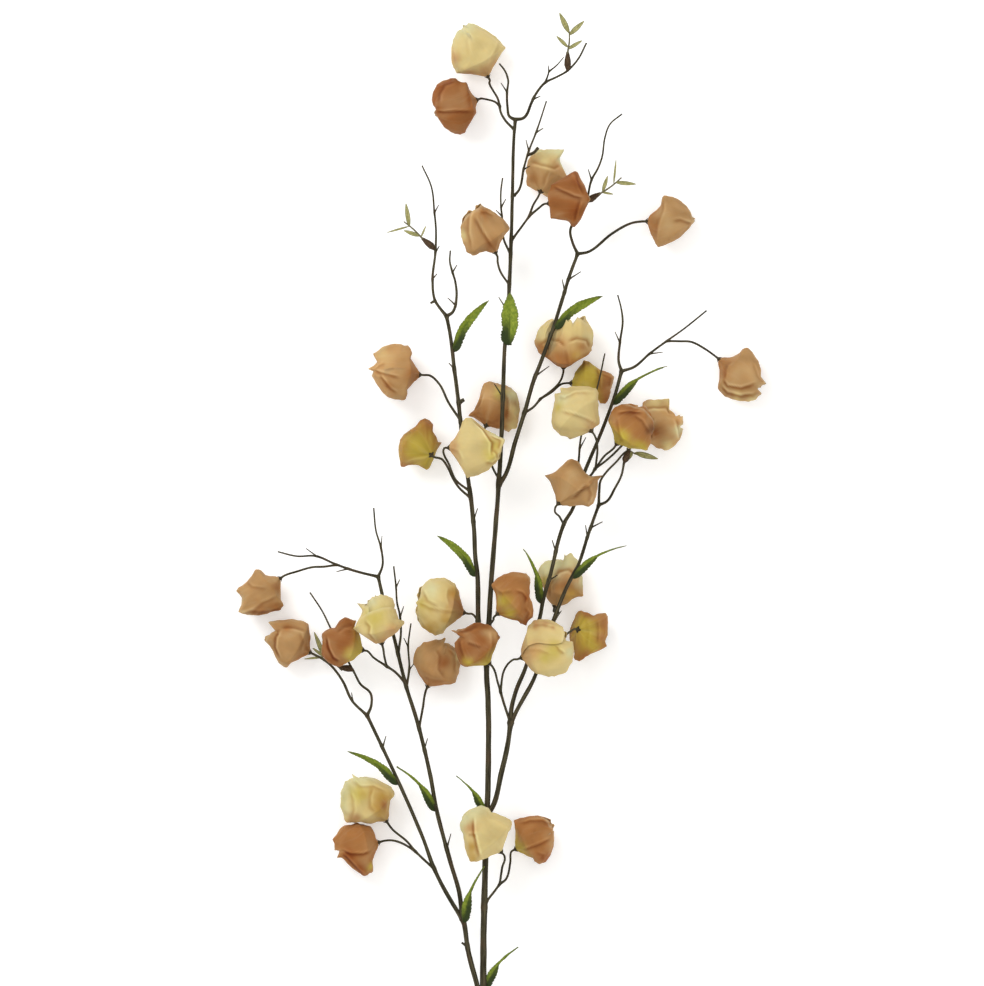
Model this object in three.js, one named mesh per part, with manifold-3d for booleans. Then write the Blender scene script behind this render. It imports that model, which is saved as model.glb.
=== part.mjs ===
// A long cut spray of Chinese lantern (Physalis), lying on a flat surface. A woody main stem carries four
// side sprays. Each lantern is a thin open husk of four overlapping petals, hung by its foot from a stalk.
// Millimetres. +Y runs up the spray, +Z up from the surface, and the origin is under the middle of the spray.
import * as THREE from 'three';
import { mergeVertices } from 'three/addons/utils/BufferGeometryUtils.js';
import Module from 'manifold-3d';

const wasm = await Module();
wasm.setup();

// ---- Driving dimensions ----
const CUT_Y = -528; // where the main stem was cut
const STEM_RADIUS = 3.4; // main stem at the cut end
const TOP_RADIUS = 1.4; // main stem at its blunt top
const STEM_SIDES = 6;
const CREST_HEIGHT = 54; // the main stem's axis at the top of the arch it lies in
const CREST_Y = 200;
const SEAT_GAP = 0.35; // between a piece and what carries it

const STALK_RADIUS = 1.0;
const COLLAR_RADIUS = 1.9; // swelling of a stalk just under its lantern
const COLLAR_LENGTH = 1.6;
const NECK_LENGTH = 4; // last thin stretch of a stalk, with the collar
const SPUR_TIP = 0.55;
const THICK_TWIG = 1.5; // a twig with a thicker root than this is rounder

const PETALS = 4;
const PETAL_COLUMNS = [0, 0.33, 0.67, 1]; // from the tucked edge to the free edge
const COLUMN_REACH = [0.93, 1, 0.88, 0.72]; // how far each column runs towards the mouth
const COLUMN_SWELL = [-0.05, 0.02, 0.03, 0.06]; // the free edge stands proud of the next petal
const COLUMN_SPAN = 84; // degrees of the petal's 90 between its first and last column
const PETAL_WALL = 1;
const FOOT_RADIUS = 2.2; // flat foot that the stalk meets
const SHOULDER = 0.27; // where a husk is widest, as a share of its length
const WIDENING = 0.85; // power of the curve from foot to shoulder, near 1 for straight
const CLOSING = 2.2; // power of the curve from shoulder to mouth
const PETAL_STRETCH = 0.07; // how far the petals of one husk differ in length
const OUTER_STEPS = 5;
const INNER_STEPS = 2;

const BLADE = 0.8; // thickness of leaves and leaflets
const LEAF_STEPS = 8;
const LEAF_SKEW = 0.75; // below 1 sets a leaf's widest place nearer its base
const LEAF_FULLNESS = 0.8; // below 1 makes a leaf's outline fuller
const LEAF_FOLD = 0.45; // rise of the leaf's margins, as a share of half its width
const LEAF_STALK = 0.08; // bare stalk of a leaf, as a share of its length
const TOOTH = 0.32; // depth of the teeth, as a share of half the leaf's width
const THIN_EDGE = 0.8; // half width of a leaf's stalk
const LEAF_TIP = 0.5; // half width of a leaf at its tip

const SPRIG_STALK_RADII = [0.7, 0.5];
const LEAFLET_WIDTH = 0.11; // greatest half width of a leaflet, as a share of its length
const LEAFLET_WIDEST = 0.55; // where it is widest, as a share of its length
const LEAFLET_ENDS = 0.33; // half width at its root and tip
const LEAFLET_FOLD = 0.3;
const LEAFLET_RISE = 4; // degrees above level

// ---- Colours ----
const BARK = { color: 0x4f4733, roughness: 0.75, metalness: 0 };
const HUSK_TAN = { color: 0xb07a46, roughness: 0.8, metalness: 0 };
const HUSK_CREAM = { color: 0xdccb8e, roughness: 0.8, metalness: 0 };
const LEAF_GREEN = { color: 0x7c9636, roughness: 0.6, metalness: 0 };
const SPRIG_GREEN = { color: 0xb3ae72, roughness: 0.7, metalness: 0 };

// ---- Wood ----
// The wood lies in one long arch, so a height is given as a lift above it.
function archHeight(y) {
  return CREST_HEIGHT - (CREST_HEIGHT - STEM_RADIUS) * ((y - CREST_Y) / (CREST_Y - CUT_Y)) ** 2;
}

const MAIN_STEM_ROUTE = [
  [-20, CUT_Y], [-18, -430], [-16.5, -348], [-16, -295.5], [-14.5, -237], [-13, -191], [-12, -159],
  [-12, -91.5], [-13.5, -65], [-11, -14], [-9.5, 12], [-5.5, 63.5], [-3.5, 89.5], [-1, 128], [0.5, 160],
  [3, 228], [6.5, 273], [9, 332.5], [10, 374], [11, 412], [12.5, 432.5],
];

// Each twig: name, what it grows from, radius at its root and at its tip, lift of its tip above the arch,
// and its route in plan from a point on its parent. A twig named after a lantern ends at that lantern's foot.
const MAIN_TWIGS = [
  ['left_fork', 'stem', 1.3, 0.8, -14, [
    [12, 432], [7, 435], [5.5, 442.5], [5, 457], [6, 467.5], [3, 476.5], [-2, 483]]],
  ['left_fork_spur', 'left_fork', 0.8, SPUR_TIP, 0, [[5, 457], [-0.5, 465]]],
  ['right_fork', 'stem', 1.4, 0.8, 4, [
    [12, 432], [20, 433.5], [27, 447], [30, 453.5], [39, 465], [49, 470], [59.5, 476], [69, 486.5],
    [76.5, 501]]],
  ['right_fork_spur_1', 'right_fork', 0.8, SPUR_TIP, 2, [[29, 450.5], [35, 453]]],
  ['right_fork_spur_2', 'right_fork', 1, SPUR_TIP, 6, [[39.5, 465.5], [42.5, 475], [42, 480.5]]],
  ['right_fork_spur_3', 'right_fork_spur_2', 0.9, SPUR_TIP, 8, [[42.5, 475], [50, 481], [56, 488]]],
  ['bud_husk_1', 'right_fork', 1, 1.2, 4, [[59.5, 476], [59.5, 481], [59.5, 485.5], [59.5, 493]]],
  ['top_stalk', 'stem', 1.1, 1, 0, [[11, 423.5], [4, 430.5], [-1, 439.5], [-1.5, 444]]],
  [1, 'top_stalk', 1, 1, 0, [[-1.5, 444], [-3.5, 451.5], [-7.5, 458.5], [-11, 466]]],
  [2, 'top_stalk', 1, 1, 0, [[-1.5, 444], [-5.5, 448], [-10.5, 450], [-16.5, 451.5]]],
  ['right_twig', 'stem', 1.2, 0.7, 4, [
    [11, 363], [16, 369], [20, 388], [24.5, 403.5], [31, 420], [40.5, 448.5]]],
  ['right_twig_spur_1', 'right_twig', 0.8, SPUR_TIP, 4, [[24.5, 403.5], [22, 413.5]]],
  ['right_twig_stub', 'right_twig', 1.2, 1.5, 5, [[23.5, 400], [29, 402], [33, 406.5]]],
  ['right_twig_spur_2', 'right_twig', 0.8, SPUR_TIP, 4, [[20, 387], [25.5, 390]]],
  ['right_twig_spur_3', 'right_twig', 0.8, SPUR_TIP, 4, [[31, 420], [37.5, 424]]],
  ['right_stalk', 'stem', 1.1, 1, 2, [[9.3, 323.5], [17.5, 334.5], [25, 345]]],
  [3, 'right_stalk', 1, 1, 0, [[25, 345], [28.5, 355]]],
  [4, 'right_stalk', 1, 1, 0, [[25, 345], [33, 351.5]]],
  ['bare_twig', 'stem', 1, 0.7, -2, [
    [8, 311], [2, 324.5], [0.5, 345], [-0.5, 355], [-0.5, 367.5], [1, 379.5]]],
  ['bare_twig_spur_1', 'bare_twig', 0.8, SPUR_TIP, 0, [[-0.3, 353], [4, 360.5]]],
  ['bare_twig_spur_2', 'bare_twig', 0.8, SPUR_TIP, -4, [[0.4, 345], [-5, 350.5]]],
  [6, 'stem', 1, 1, 0, [[7, 283], [-1, 295], [-3.5, 304]]],
  ['stem_spur_1', 'stem', 0.9, SPUR_TIP, 2, [[5, 260], [-2.5, 272]]],
  ['stem_spur_2', 'stem', 0.9, SPUR_TIP, 2, [[1.4, 182], [-6.5, 194]]],
  [10, 'stem', 1, 1, 0, [[-1.5, 107], [-8, 119], [-12, 136.5]]],
  [18, 'stem', 1, 1, 0, [[-11, -23], [-7, -17.5]]],
  ['low_stalk', 'stem', 1.2, 1.1, 1, [[-15, -278], [-12, -270.5], [-7, -264], [-1.5, -256.5]]],
  [29, 'low_stalk', 1, 1, 0, [[-1.5, -256.5], [0.5, -241.5]]],
  [30, 'low_stalk', 1, 1, 0, [[-1.5, -256.5], [4, -252.5], [8, -237]]],
];

const UPPER_RIGHT_TWIGS = [
  ['shoot', 'stem', 2.1, 1.5, 1, [
    [-2.5, 103], [4, 113], [12.5, 142.5], [20.5, 168], [28, 194], [37, 218], [47, 245.5], [54, 268],
    [61, 290.5], [68.5, 311]]],
  ['left_fork', 'shoot', 1.3, 0.7, 2, [
    [68.5, 311], [64, 321], [62, 333], [70.5, 346], [77, 357], [78, 364], [81, 377.5], [87, 388.5],
    [90.5, 398], [93, 415.5], [97.5, 427.5], [108.5, 437]]],
  ['left_fork_spur', 'left_fork', 0.8, SPUR_TIP, 4, [[81, 377.5], [78, 387]]],
  ['bud_husk_2', 'left_fork', 1, 1.2, 6, [[77.5, 358], [80, 360], [83, 362], [89, 365.5]]],
  [5, 'shoot', 1.3, 1, 0, [[68.5, 311], [78.5, 313], [99.5, 329.5], [116.5, 339]]],
  ['spur_1', 'shoot', 1, SPUR_TIP, 2, [[60.5, 288], [71.5, 295]]],
  ['spur_2', 'shoot', 0.9, SPUR_TIP, 0, [[57, 277], [54.5, 288]]],
  ['spur_3', 'shoot', 1, SPUR_TIP, 2, [[30.5, 201], [43, 210]]],
  ['stalk', 'shoot', 1.2, 1, -1, [[20.5, 168], [28.5, 173], [35, 180.5]]],
  [11, 'stalk', 1, 1, 0, [[35, 180.5], [45.5, 188.5], [52.5, 196]]],
  [12, 'stalk', 1, 1, 0, [[35, 180.5], [45.5, 187], [54, 194]]],
];

const UPPER_LEFT_TWIGS = [
  ['shoot', 'stem', 2.3, 1.6, 0, [
    [-13.8, -58], [-20, -36.5], [-21, -14], [-21.5, 20.5], [-23.5, 38], [-25, 67], [-30, 108],
    [-34, 133], [-39, 180.5], [-42.5, 208], [-46.5, 240.5], [-49.5, 255]]],
  ['left_top', 'shoot', 1.4, 0.7, 0, [
    [-49.5, 255], [-56, 263], [-60, 269.5], [-62, 288.5], [-59.5, 312], [-59, 333], [-60.5, 350],
    [-63, 371], [-71.5, 390.5]]],
  ['left_top_stub', 'left_top', 1, 0.9, 0, [[-60, 268.5], [-64, 266.5]]],
  ['left_top_spur_1', 'left_top', 0.8, SPUR_TIP, 2, [[-62, 288.5], [-58, 293]]],
  ['left_top_spur_2', 'left_top', 0.8, SPUR_TIP, 2, [[-59.5, 312], [-56, 318]]],
  ['left_top_spur_3', 'left_top', 0.8, SPUR_TIP, 2, [[-60.3, 348], [-56.5, 355]]],
  ['bud_husk_3', 'left_top', 1, 1.2, 3, [[-59.7, 315], [-63, 318], [-66.5, 321], [-71.5, 325]]],
  ['right_top', 'shoot', 1.4, 0.7, 2, [
    [-49.5, 255], [-44, 258.5], [-40.5, 271.5], [-41.5, 285.5], [-45, 297.5], [-46.5, 304], [-46, 314]]],
  ['right_top_spur_1', 'right_top', 0.8, SPUR_TIP, 3, [[-44.3, 294], [-40, 301]]],
  ['right_top_spur_2', 'right_top', 0.8, SPUR_TIP, 0, [[-42, 265.5], [-48.5, 271.5]]],
  ['thick_stub', 'shoot', 1.7, 1.5, 0, [[-38.5, 177], [-33.5, 180]]],
  ['spur_1', 'shoot', 0.9, SPUR_TIP, 0, [[-42.3, 207], [-47.5, 213]]],
  ['spur_2', 'shoot', 0.9, SPUR_TIP, 2, [[-25.5, 70.5], [-21.5, 82]]],
  [7, 'shoot', 1.1, 1, 0, [[-36.8, 161], [-47.5, 177], [-56, 194], [-65, 202]]],
  [8, 'shoot', 1.1, 1, 0, [[-28.5, 92], [-38, 100.5], [-44, 109.5], [-49, 120], [-54, 126.5]]],
  [9, 'shoot', 1.1, 1, 0, [[-29, 98], [-37.5, 104], [-41.5, 108], [-46.5, 120]]],
  [28, 'shoot', 1, 1, 0, [[-21, -19.5], [-26.5, -13]]],
];

const LOWER_RIGHT_TWIGS = [
  ['shoot', 'stem', 2.5, 2.2, 2, [
    [-13, -195], [-6.5, -183.5], [-0.5, -158], [4.5, -136.5], [7.5, -117], [8.5, -108.5]]],
  ['inner_shoot', 'shoot', 2, 1.5, 0, [
    [8.5, -108.5], [8.5, -101.5], [13, -82.5], [21.5, -62], [29, -36.5], [35, -14], [37.5, 0],
    [43.5, 20.5], [56.5, 69], [64, 81.5], [75, 115.5], [88, 146], [102, 184], [108, 205.5]]],
  ['far_twig', 'inner_shoot', 1.3, 0.7, 2, [
    [108, 205.5], [119, 209], [133, 221], [148.5, 232.5], [164, 243.5], [184.5, 260]]],
  ['far_twig_spur', 'far_twig', 0.8, SPUR_TIP, 4, [[133, 221], [145, 222.5]]],
  [16, 'far_twig', 1, 1, 0, [[148.5, 232.5], [160.5, 232.5], [171, 232], [184, 225.5]]],
  ['upright_twig', 'inner_shoot', 1.3, 0.7, 3, [
    [108, 205.5], [105.5, 214], [106.5, 231], [109, 250], [107.5, 262.5], [104.5, 274]]],
  ['upright_twig_spur', 'upright_twig', 0.8, SPUR_TIP, 4, [[106.5, 231], [102, 241]]],
  ['inner_spur_1', 'inner_shoot', 0.9, SPUR_TIP, 1, [[49, 43], [45.5, 53.5]]],
  ['inner_spur_2', 'inner_shoot', 0.9, SPUR_TIP, 1, [[43, 17.5], [50.5, 22]]],
  [14, 'inner_shoot', 1, 1, 0, [[56, 68], [52.5, 74]]],
  ['bare_twig', 'inner_shoot', 1.1, 0.7, 0, [
    [67.5, 93], [68, 109.5], [69.5, 125.5], [71.5, 146], [76, 160.5], [81.5, 175], [87, 194],
    [93, 221.5]]],
  ['bare_twig_spur', 'bare_twig', 0.8, SPUR_TIP, 1, [[70.5, 136], [76, 146]]],
  ['inner_stalk', 'inner_shoot', 1.2, 1.1, 1, [[71.5, 106], [80, 111.5], [84.5, 118]]],
  [13, 'inner_stalk', 1, 1, 0, [[84.5, 118], [86, 137]]],
  [15, 'inner_stalk', 1, 1, 0, [[84.5, 118], [92.5, 129]]],
  [17, 'inner_stalk', 1, 1, 0, [[84.5, 118], [96, 126.5], [113, 143.5]]],
  ['fork_stalk', 'shoot', 1.2, 1.1, 6, [[8, -111], [2, -93], [-1, -82.5]]],
  [21, 'fork_stalk', 1, 1, 0, [[-1, -82.5], [-3.5, -74]]],
  [22, 'fork_stalk', 1, 1, 0, [[-1, -82.5], [3, -62], [11, -53.5]]],
  ['outer_shoot', 'shoot', 2, 1.4, 0, [
    [8, -112], [14, -99.5], [29.5, -70.5], [39, -41], [57.5, 8.5], [64.5, 22.5], [69, 31], [78, 58.5],
    [87.5, 85]]],
  ['left_loop', 'outer_shoot', 1.2, 0.8, -2, [
    [87.5, 85], [88, 98], [89, 106.5], [95, 115.5], [103.5, 124], [110.5, 132], [116.5, 136]]],
  ['right_loop', 'outer_shoot', 1.2, 1, -3, [
    [87.5, 85], [95, 88.5], [102, 100], [108, 112], [110.5, 124]]],
  ['bud_husk_4', 'right_loop', 1, 1.2, -2, [[110.3, 123], [111.5, 126], [113, 129.5], [115, 134]]],
  ['outer_spur_1', 'outer_shoot', 0.9, SPUR_TIP, 1, [[80.2, 64.5], [91, 70]]],
  ['outer_spur_2', 'outer_shoot', 0.9, SPUR_TIP, 1, [[77.3, 56], [75.5, 67]]],
  ['outer_spur_3', 'outer_shoot', 0.9, SPUR_TIP, 1, [[48, -18.5], [54, -10]]],
  [19, 'outer_shoot', 1, 1, 0, [[51, -11.5], [49, -8.5]]],
  [20, 'outer_shoot', 1, 1, 0, [[38, -45], [52, -37], [59, -31]]],
];

const LOWER_LEFT_TWIGS = [
  ['shoot', 'stem', 2.4, 2.2, 2, [
    [-17, -372], [-22, -348], [-26.5, -331.5], [-30.5, -314.5], [-33.5, -293.5], [-35, -288.5]]],
  ['stub', 'shoot', 1.1, 0.9, 1, [[-31, -313], [-36, -309.5]]],
  ['outer_shoot', 'shoot', 2, 1.5, -2, [
    [-35, -288.5], [-49, -266], [-61, -242], [-71, -214.5], [-95, -159.5], [-121, -104.5]]],
  [27, 'outer_shoot', 1.3, 1, 0, [
    [-121, -104.5], [-134.5, -91.5], [-143, -74], [-153.5, -60], [-162, -53.5]]],
  ['left_twig_spur', 27, 0.8, SPUR_TIP, -4, [[-134, -92], [-135, -84]]],
  ['right_twig', 'outer_shoot', 1.3, 0.7, -36, [
    [-121, -104.5], [-117.5, -96.5], [-118, -84.5], [-127, -76.5], [-133, -65.5], [-141, -51],
    [-147, -41], [-154.5, -25.5], [-162, -10.5], [-173, 6]]],
  ['bud_husk_5', 'right_twig', 1, 1.2, -17, [[-133.5, -64], [-138, -62.5], [-141.5, -62], [-145.5, -61]]],
  ['low_stalk', 'outer_shoot', 1.2, 1.1, -1, [[-60.5, -243], [-70, -234.5], [-78, -227]]],
  [31, 'low_stalk', 1, 1, 0, [[-78, -227], [-85, -218.5], [-98.5, -207.5]]],
  [32, 'low_stalk', 1, 1, 0, [[-78, -227], [-88.5, -220.5], [-98.5, -217.5]]],
  ['outer_spur', 'outer_shoot', 0.9, SPUR_TIP, 0, [[-107, -133], [-104, -123]]],
  ['inner_shoot', 'shoot', 2.1, 1.5, 1, [
    [-35, -288.5], [-38.5, -262.5], [-46, -237], [-59, -187], [-64, -159], [-74, -116.5], [-79.5, -98],
    [-86.5, -76], [-97.5, -31], [-104, -9.5], [-111, 20.5]]],
  ['far_twig', 'inner_shoot', 1.3, 0.7, -8, [
    [-111, 20.5], [-133, 26], [-150, 32], [-167, 39], [-184.5, 39], [-201.5, 43]]],
  ['far_twig_spur_1', 'far_twig', 0.8, SPUR_TIP, -5, [[-165.5, 38.3], [-176, 46]]],
  ['far_twig_spur_2', 'far_twig', 0.8, SPUR_TIP, -5, [[-138, 27.7], [-148.5, 25]]],
  [23, 'far_twig', 1, 1, 0, [[-148, 31.2], [-160, 29.5], [-170.5, 29], [-184.5, 25]]],
  ['upright_twig', 'inner_shoot', 1.2, 0.7, 1, [
    [-111, 20.5], [-107, 31], [-108.5, 46.5], [-113, 62], [-115, 82.5]]],
  ['upright_twig_spur', 'upright_twig', 0.8, SPUR_TIP, 2, [[-108.4, 46], [-107.5, 57.5]]],
  ['right_twig_1', 'inner_shoot', 1.1, 0.7, 0, [
    [-93, -48.5], [-90.5, -29], [-91.5, -14], [-94, -3], [-95, 12], [-97, 30]]],
  ['right_twig_1_spur_1', 'right_twig_1', 0.8, SPUR_TIP, 1, [[-91.3, -16], [-88, -6]]],
  ['right_twig_1_spur_2', 'right_twig_1', 0.8, SPUR_TIP, 1, [[-95, 11], [-91.5, 18]]],
  ['right_twig_2', 'inner_shoot', 1.1, 0.7, 0, [[-85.5, -79], [-83, -62], [-84, -41.5], [-81.5, -21.5]]],
  ['right_twig_2_spur_1', 'right_twig_2', 0.8, SPUR_TIP, 1, [[-83.9, -43], [-88, -34.5]]],
  ['right_twig_2_spur_2', 'right_twig_2', 0.8, SPUR_TIP, 1, [[-83.2, -63.5], [-79, -58]]],
  ['inner_stalk', 'inner_shoot', 1.2, 1.1, 3, [[-87, -74.5], [-96, -65], [-103.5, -60]]],
  [25, 'inner_stalk', 1, 1, 0, [[-103.5, -60], [-105.5, -50]]],
  [26, 'inner_stalk', 1, 1, 0, [[-103.5, -60], [-115.5, -52]]],
  [24, 'inner_shoot', 1.1, 1, 0, [[-74.2, -115.5], [-71, -98]]],
  ['inner_spur_1', 'inner_shoot', 0.9, SPUR_TIP, 2, [[-69.8, -136], [-66.5, -125]]],
  ['inner_spur_2', 'inner_shoot', 0.9, SPUR_TIP, 2, [[-49, -223.5], [-45.5, -211]]],
];

// ---- Lanterns ----
// Each lantern: its foot [x, y, z], heading of its axis in plan (degrees from +X), rise of the axis above
// level, length, greatest half width, roll about the axis, width of the mouth as a share of the greatest
// width, lean (how far the shoulders sit forward on the left and back on the right) and its colour.
const LANTERNS = [
  [[-12.5, 472, 24.4], 118, 3, 51, 25.5, 20, 0.15, 0, HUSK_CREAM],
  [[-22.5, 450.5, 23.9], 198, 15, 43, 26, 50, 0.2, 0, HUSK_TAN],
  [[35, 367.5, 33], 68, -28, 41, 21.5, 30, 0.4, 0, HUSK_CREAM],
  [[42.5, 356, 66], 5, 25, 41, 25, 40, 0.35, 0, HUSK_TAN],
  [[131.5, 341, 24.5], 1, 3, 44, 23.5, 45, 0.12, -0.15, HUSK_TAN],
  [[-5.5, 312, 70], 117, 5, 45, 23, 30, 0.25, 0, HUSK_TAN],
  [[-74, 202.5, 24.2], 176, 10, 45, 25.5, 60, 0.35, 0, HUSK_TAN],
  [[-63, 130, 44], 139, -50, 44, 24, 10, 0.3, 0, HUSK_TAN],
  [[-47, 136.5, 76], 5, 10, 49, 27.5, 40, 0.5, 0, HUSK_CREAM],
  [[-14, 156.5, 32.8], 67, -30, 46, 24.5, 30, 0.35, 0, HUSK_TAN],
  [[56, 209, 24], 87, 18, 45, 27, 45, 0.55, 0, HUSK_CREAM],
  [[63, 195, 22.5], 0, -5, 38, 20, 45, 0.3, 0, HUSK_TAN],
  [[80.5, 151.5, 87], 128, -22, 48, 25.5, 30, 0.45, 0, HUSK_CREAM],
  [[51, 86.5, 86], 50, -20, 45, 25, 45, 0.3, 0, HUSK_TAN],
  [[103.5, 140, 70], 56, 12, 45, 22.5, 20, 0.35, 0, HUSK_TAN],
  [[196.5, 216.5, 23.3], -38, 3, 48, 24.5, 20, 0.2, 0, HUSK_TAN],
  [[125.5, 154.5, 20], 12, 18, 39, 23.5, 30, 0.5, 0, HUSK_TAN],
  [[-3.5, -12.5, 77], 41, -8, 45, 23.5, 20, 0.3, 0, HUSK_TAN],
  [[48, -6, 22], 76, 3, 47, 22, 30, 0.4, 0, HUSK_TAN],
  [[68.5, -27, 42], -14, -55, 43, 23.5, 10, 0.3, 0, HUSK_TAN],
  [[-11, -57, 76], 133, 5, 39, 23.5, 30, 0.2, 0, HUSK_TAN],
  [[18, -52, 77], 19, 10, 50, 27, 45, 0.5, 0, HUSK_CREAM],
  [[-200, 18.5, 21], 215, 3, 41, 21.5, 30, 0.3, 0, HUSK_TAN],
  [[-66.5, -78.5, 22.5], 67, 3, 46, 21.5, 45, 0.25, 0, HUSK_TAN],
  [[-107.5, -39, 74], 105, 5, 45, 23.5, 30, 0.3, 0, HUSK_CREAM],
  [[-125, -45.5, 49], 168, 8, 43, 22.5, 45, 0.35, 0, HUSK_TAN],
  [[-173, -48, 22.3], 154, 3, 43, 22.5, 30, 0.3, 0, HUSK_TAN],
  [[-34, -12, 42], 167, 3, 44, 26, 45, 0.35, 0, HUSK_CREAM],
  [[-0.5, -226.5, 68], 132, 5, 49, 26, 45, 0.35, 0, HUSK_CREAM],
  [[13, -225.5, 21.9], 28, 5, 41, 22.5, 30, 0.25, 0, HUSK_TAN],
  [[-104, -200, 25], 124, 3, 49, 24, 30, 0.45, 0, HUSK_CREAM],
  [[-111, -219.5, 24.5], 197, 3, 42, 23.5, 60, 0.3, 0, HUSK_TAN],
];

// ---- Leaves ----
// Each leaf: its base [x, y, z], heading of its tip in plan, rise above level, length, greatest half width,
// roll about its midrib (0 lies flat), and its bow: how far its middle lies left of a straight line.
const LEAVES = [
  [[7.4, 232, 54.9], 90, 4, 44, 8.5, 0, 0],
  [[50, 246, 55], 33, 4, 49, 4.6, 25, 5],
  [[-41.9, 226.2, 54], 54, 4, 52.5, 4.6, 25, 5],
  [[102.6, 178, 54], 34, 4, 56.5, 4.6, 25, 5.5],
  [[-24.7, 23.9, 50], 135, 4, 47, 4.6, -25, -5],
  [[35, 0, 50.5], 109, -4, 48, 4.6, -25, -4],
  [[66.8, 21.6, 52], 30, 4, 53, 4.6, 25, 5.5],
  [[-95.6, -164.2, 39.8], 148, 4, 51, 4.6, -25, -5],
  [[-61.5, -187.6, 40], 132, 12, 50.5, 4.6, -25, -5],
  [[-16.5, -189.3, 39.3], 129, 4, 39, 4.6, -25, -3],
  [[-33, -288, 35.4], 69, 10, 51.5, 5.5, 20, 4],
  [[-12.9, -347.6, 24], 50, 4, 44, 4.6, 20, 4],
];

// ---- Leaf sprigs ----
// Each sprig: the foot of its stalk, the stalk's tip, and its leaflets as [x, y, x of the tip, y of the tip].
const SPRIGS = [
  [[59.5, 493.5, 51], [61, 511, 54], [
    [61.5, 510, 52, 528], [62.5, 508, 74.5, 520.5], [60, 497, 49.5, 507], [62, 495, 72.5, 503]]],
  [[89.5, 365.8, 58], [108, 379.5, 60], [
    [90, 368, 95.5, 381], [99, 377, 103, 395.5], [102.5, 375, 121, 373.5], [90.5, 366, 100.5, 364.5]]],
  [[-72, 325.4, 56], [-88, 340, 58], [
    [-82, 336.5, -86, 356.5], [-74, 326.5, -88, 332], [-85, 334, -100.5, 330], [-71, 327.5, -68, 336]]],
  [[115.3, 134.6, 49], [124, 130, 47], [
    [120, 132, 141, 128.5], [117.5, 132.5, 114, 125.5]]],
  [[-146, -62.5, 22], [-160, -52, 20], [
    [-164, -42, -169, -29.5], [-163, -47, -170.5, -44], [-167, -50, -178, -54]]],
];

// ---- Solids ----
function toSolid(geometry) {
  return new wasm.Manifold(new wasm.Mesh({
    numProp: 3,
    vertProperties: new Float32Array(geometry.attributes.position.array),
    triVerts: new Uint32Array(geometry.index.array),
  }));
}

function toGeometry(solid) {
  const mesh = solid.getMesh();
  const geometry = new THREE.BufferGeometry();
  geometry.setAttribute('position', new THREE.BufferAttribute(mesh.vertProperties, mesh.numProp));
  geometry.setIndex(new THREE.BufferAttribute(mesh.triVerts, 1));
  return geometry;
}

function closedGeometry(points, faces) {
  const geometry = new THREE.BufferGeometry().setFromPoints(points);
  geometry.setIndex(faces);
  return mergeVertices(geometry, 1e-4);
}

// The faces between two rings of the same number of points.
function bridge(faces, ring, next, count) {
  for (let i = 0; i < count; i++) {
    const j = (i + 1) % count;
    faces.push(ring + i, ring + j, next + j, ring + i, next + j, next + i);
  }
}

// A rod along a line of points, with a radius at each point and both ends closed.
function rod(line, radii, sides) {
  const points = [];
  const faces = [];
  const side = new THREE.Vector3();
  const tangents = line.map((point, i) => new THREE.Vector3()
    .subVectors(line[Math.min(i + 1, line.length - 1)], line[Math.max(i - 1, 0)]).normalize());
  side.set(0, 0, 1).cross(tangents[0]).normalize();
  line.forEach((point, i) => {
    side.addScaledVector(tangents[i], -side.dot(tangents[i])).normalize();
    const up = new THREE.Vector3().crossVectors(tangents[i], side);
    for (let k = 0; k < sides; k++) {
      const turn = (2 * Math.PI * (k + 0.5)) / sides;
      points.push(point.clone()
        .addScaledVector(side, radii[i] * Math.cos(turn)).addScaledVector(up, radii[i] * Math.sin(turn)));
    }
    if (i > 0) bridge(faces, (i - 1) * sides, i * sides, sides);
  });
  const last = (line.length - 1) * sides;
  for (let k = 1; k < sides - 1; k++) faces.push(0, k + 1, k, last, last + k, last + k + 1);
  return closedGeometry(points, faces);
}

// ---- Twigs ----
// The height of a twig's axis where it passes closest, in plan, to a point.
function heightOn(line, [x, y]) {
  let nearest = Infinity;
  let height = 0;
  for (let i = 1; i < line.length; i++) {
    const from = line[i - 1];
    const run = new THREE.Vector3().subVectors(line[i], from);
    const along = ((x - from.x) * run.x + (y - from.y) * run.y) / (run.x ** 2 + run.y ** 2);
    const share = THREE.MathUtils.clamp(along, 0, 1);
    const away = Math.hypot(x - from.x - share * run.x, y - from.y - share * run.y);
    if (away < nearest) {
      nearest = away;
      height = from.z + share * run.z;
    }
  }
  return height;
}

// Shares of the route's length at which its points lie, from 0 to 1.
function sharesAlong(route) {
  const lengths = [0];
  for (let i = 1; i < route.length; i++) {
    const [x, y] = route[i];
    const [x0, y0] = route[i - 1];
    lengths.push(lengths[i - 1] + Math.hypot(x - x0, y - y0));
  }
  return lengths.map((length) => length / lengths[lengths.length - 1]);
}

// A twig's line in space: its lift above the arch changes evenly from its root to its tip.
function twigLine(parentLine, route, tipLift) {
  const rootLift = heightOn(parentLine, route[0]) - archHeight(route[0][1]);
  const shares = sharesAlong(route);
  return route.map(([x, y], i) =>
    new THREE.Vector3(x, y, archHeight(y) + rootLift + (tipLift - rootLift) * shares[i]));
}

// A stalk runs on to its lantern's foot, and swells in a small collar just under it.
function stalkLine(parentLine, route, lantern) {
  const axis = lanternAxis(lantern);
  const foot = new THREE.Vector3(...lantern[0]).addScaledVector(axis, -SEAT_GAP);
  const neck = foot.clone().addScaledVector(axis, -NECK_LENGTH);
  const line = twigLine(parentLine, [...route, [neck.x, neck.y]], neck.z - archHeight(neck.y));
  const collar = foot.clone().addScaledVector(axis, -COLLAR_LENGTH);
  return [...line, collar, foot];
}

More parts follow.
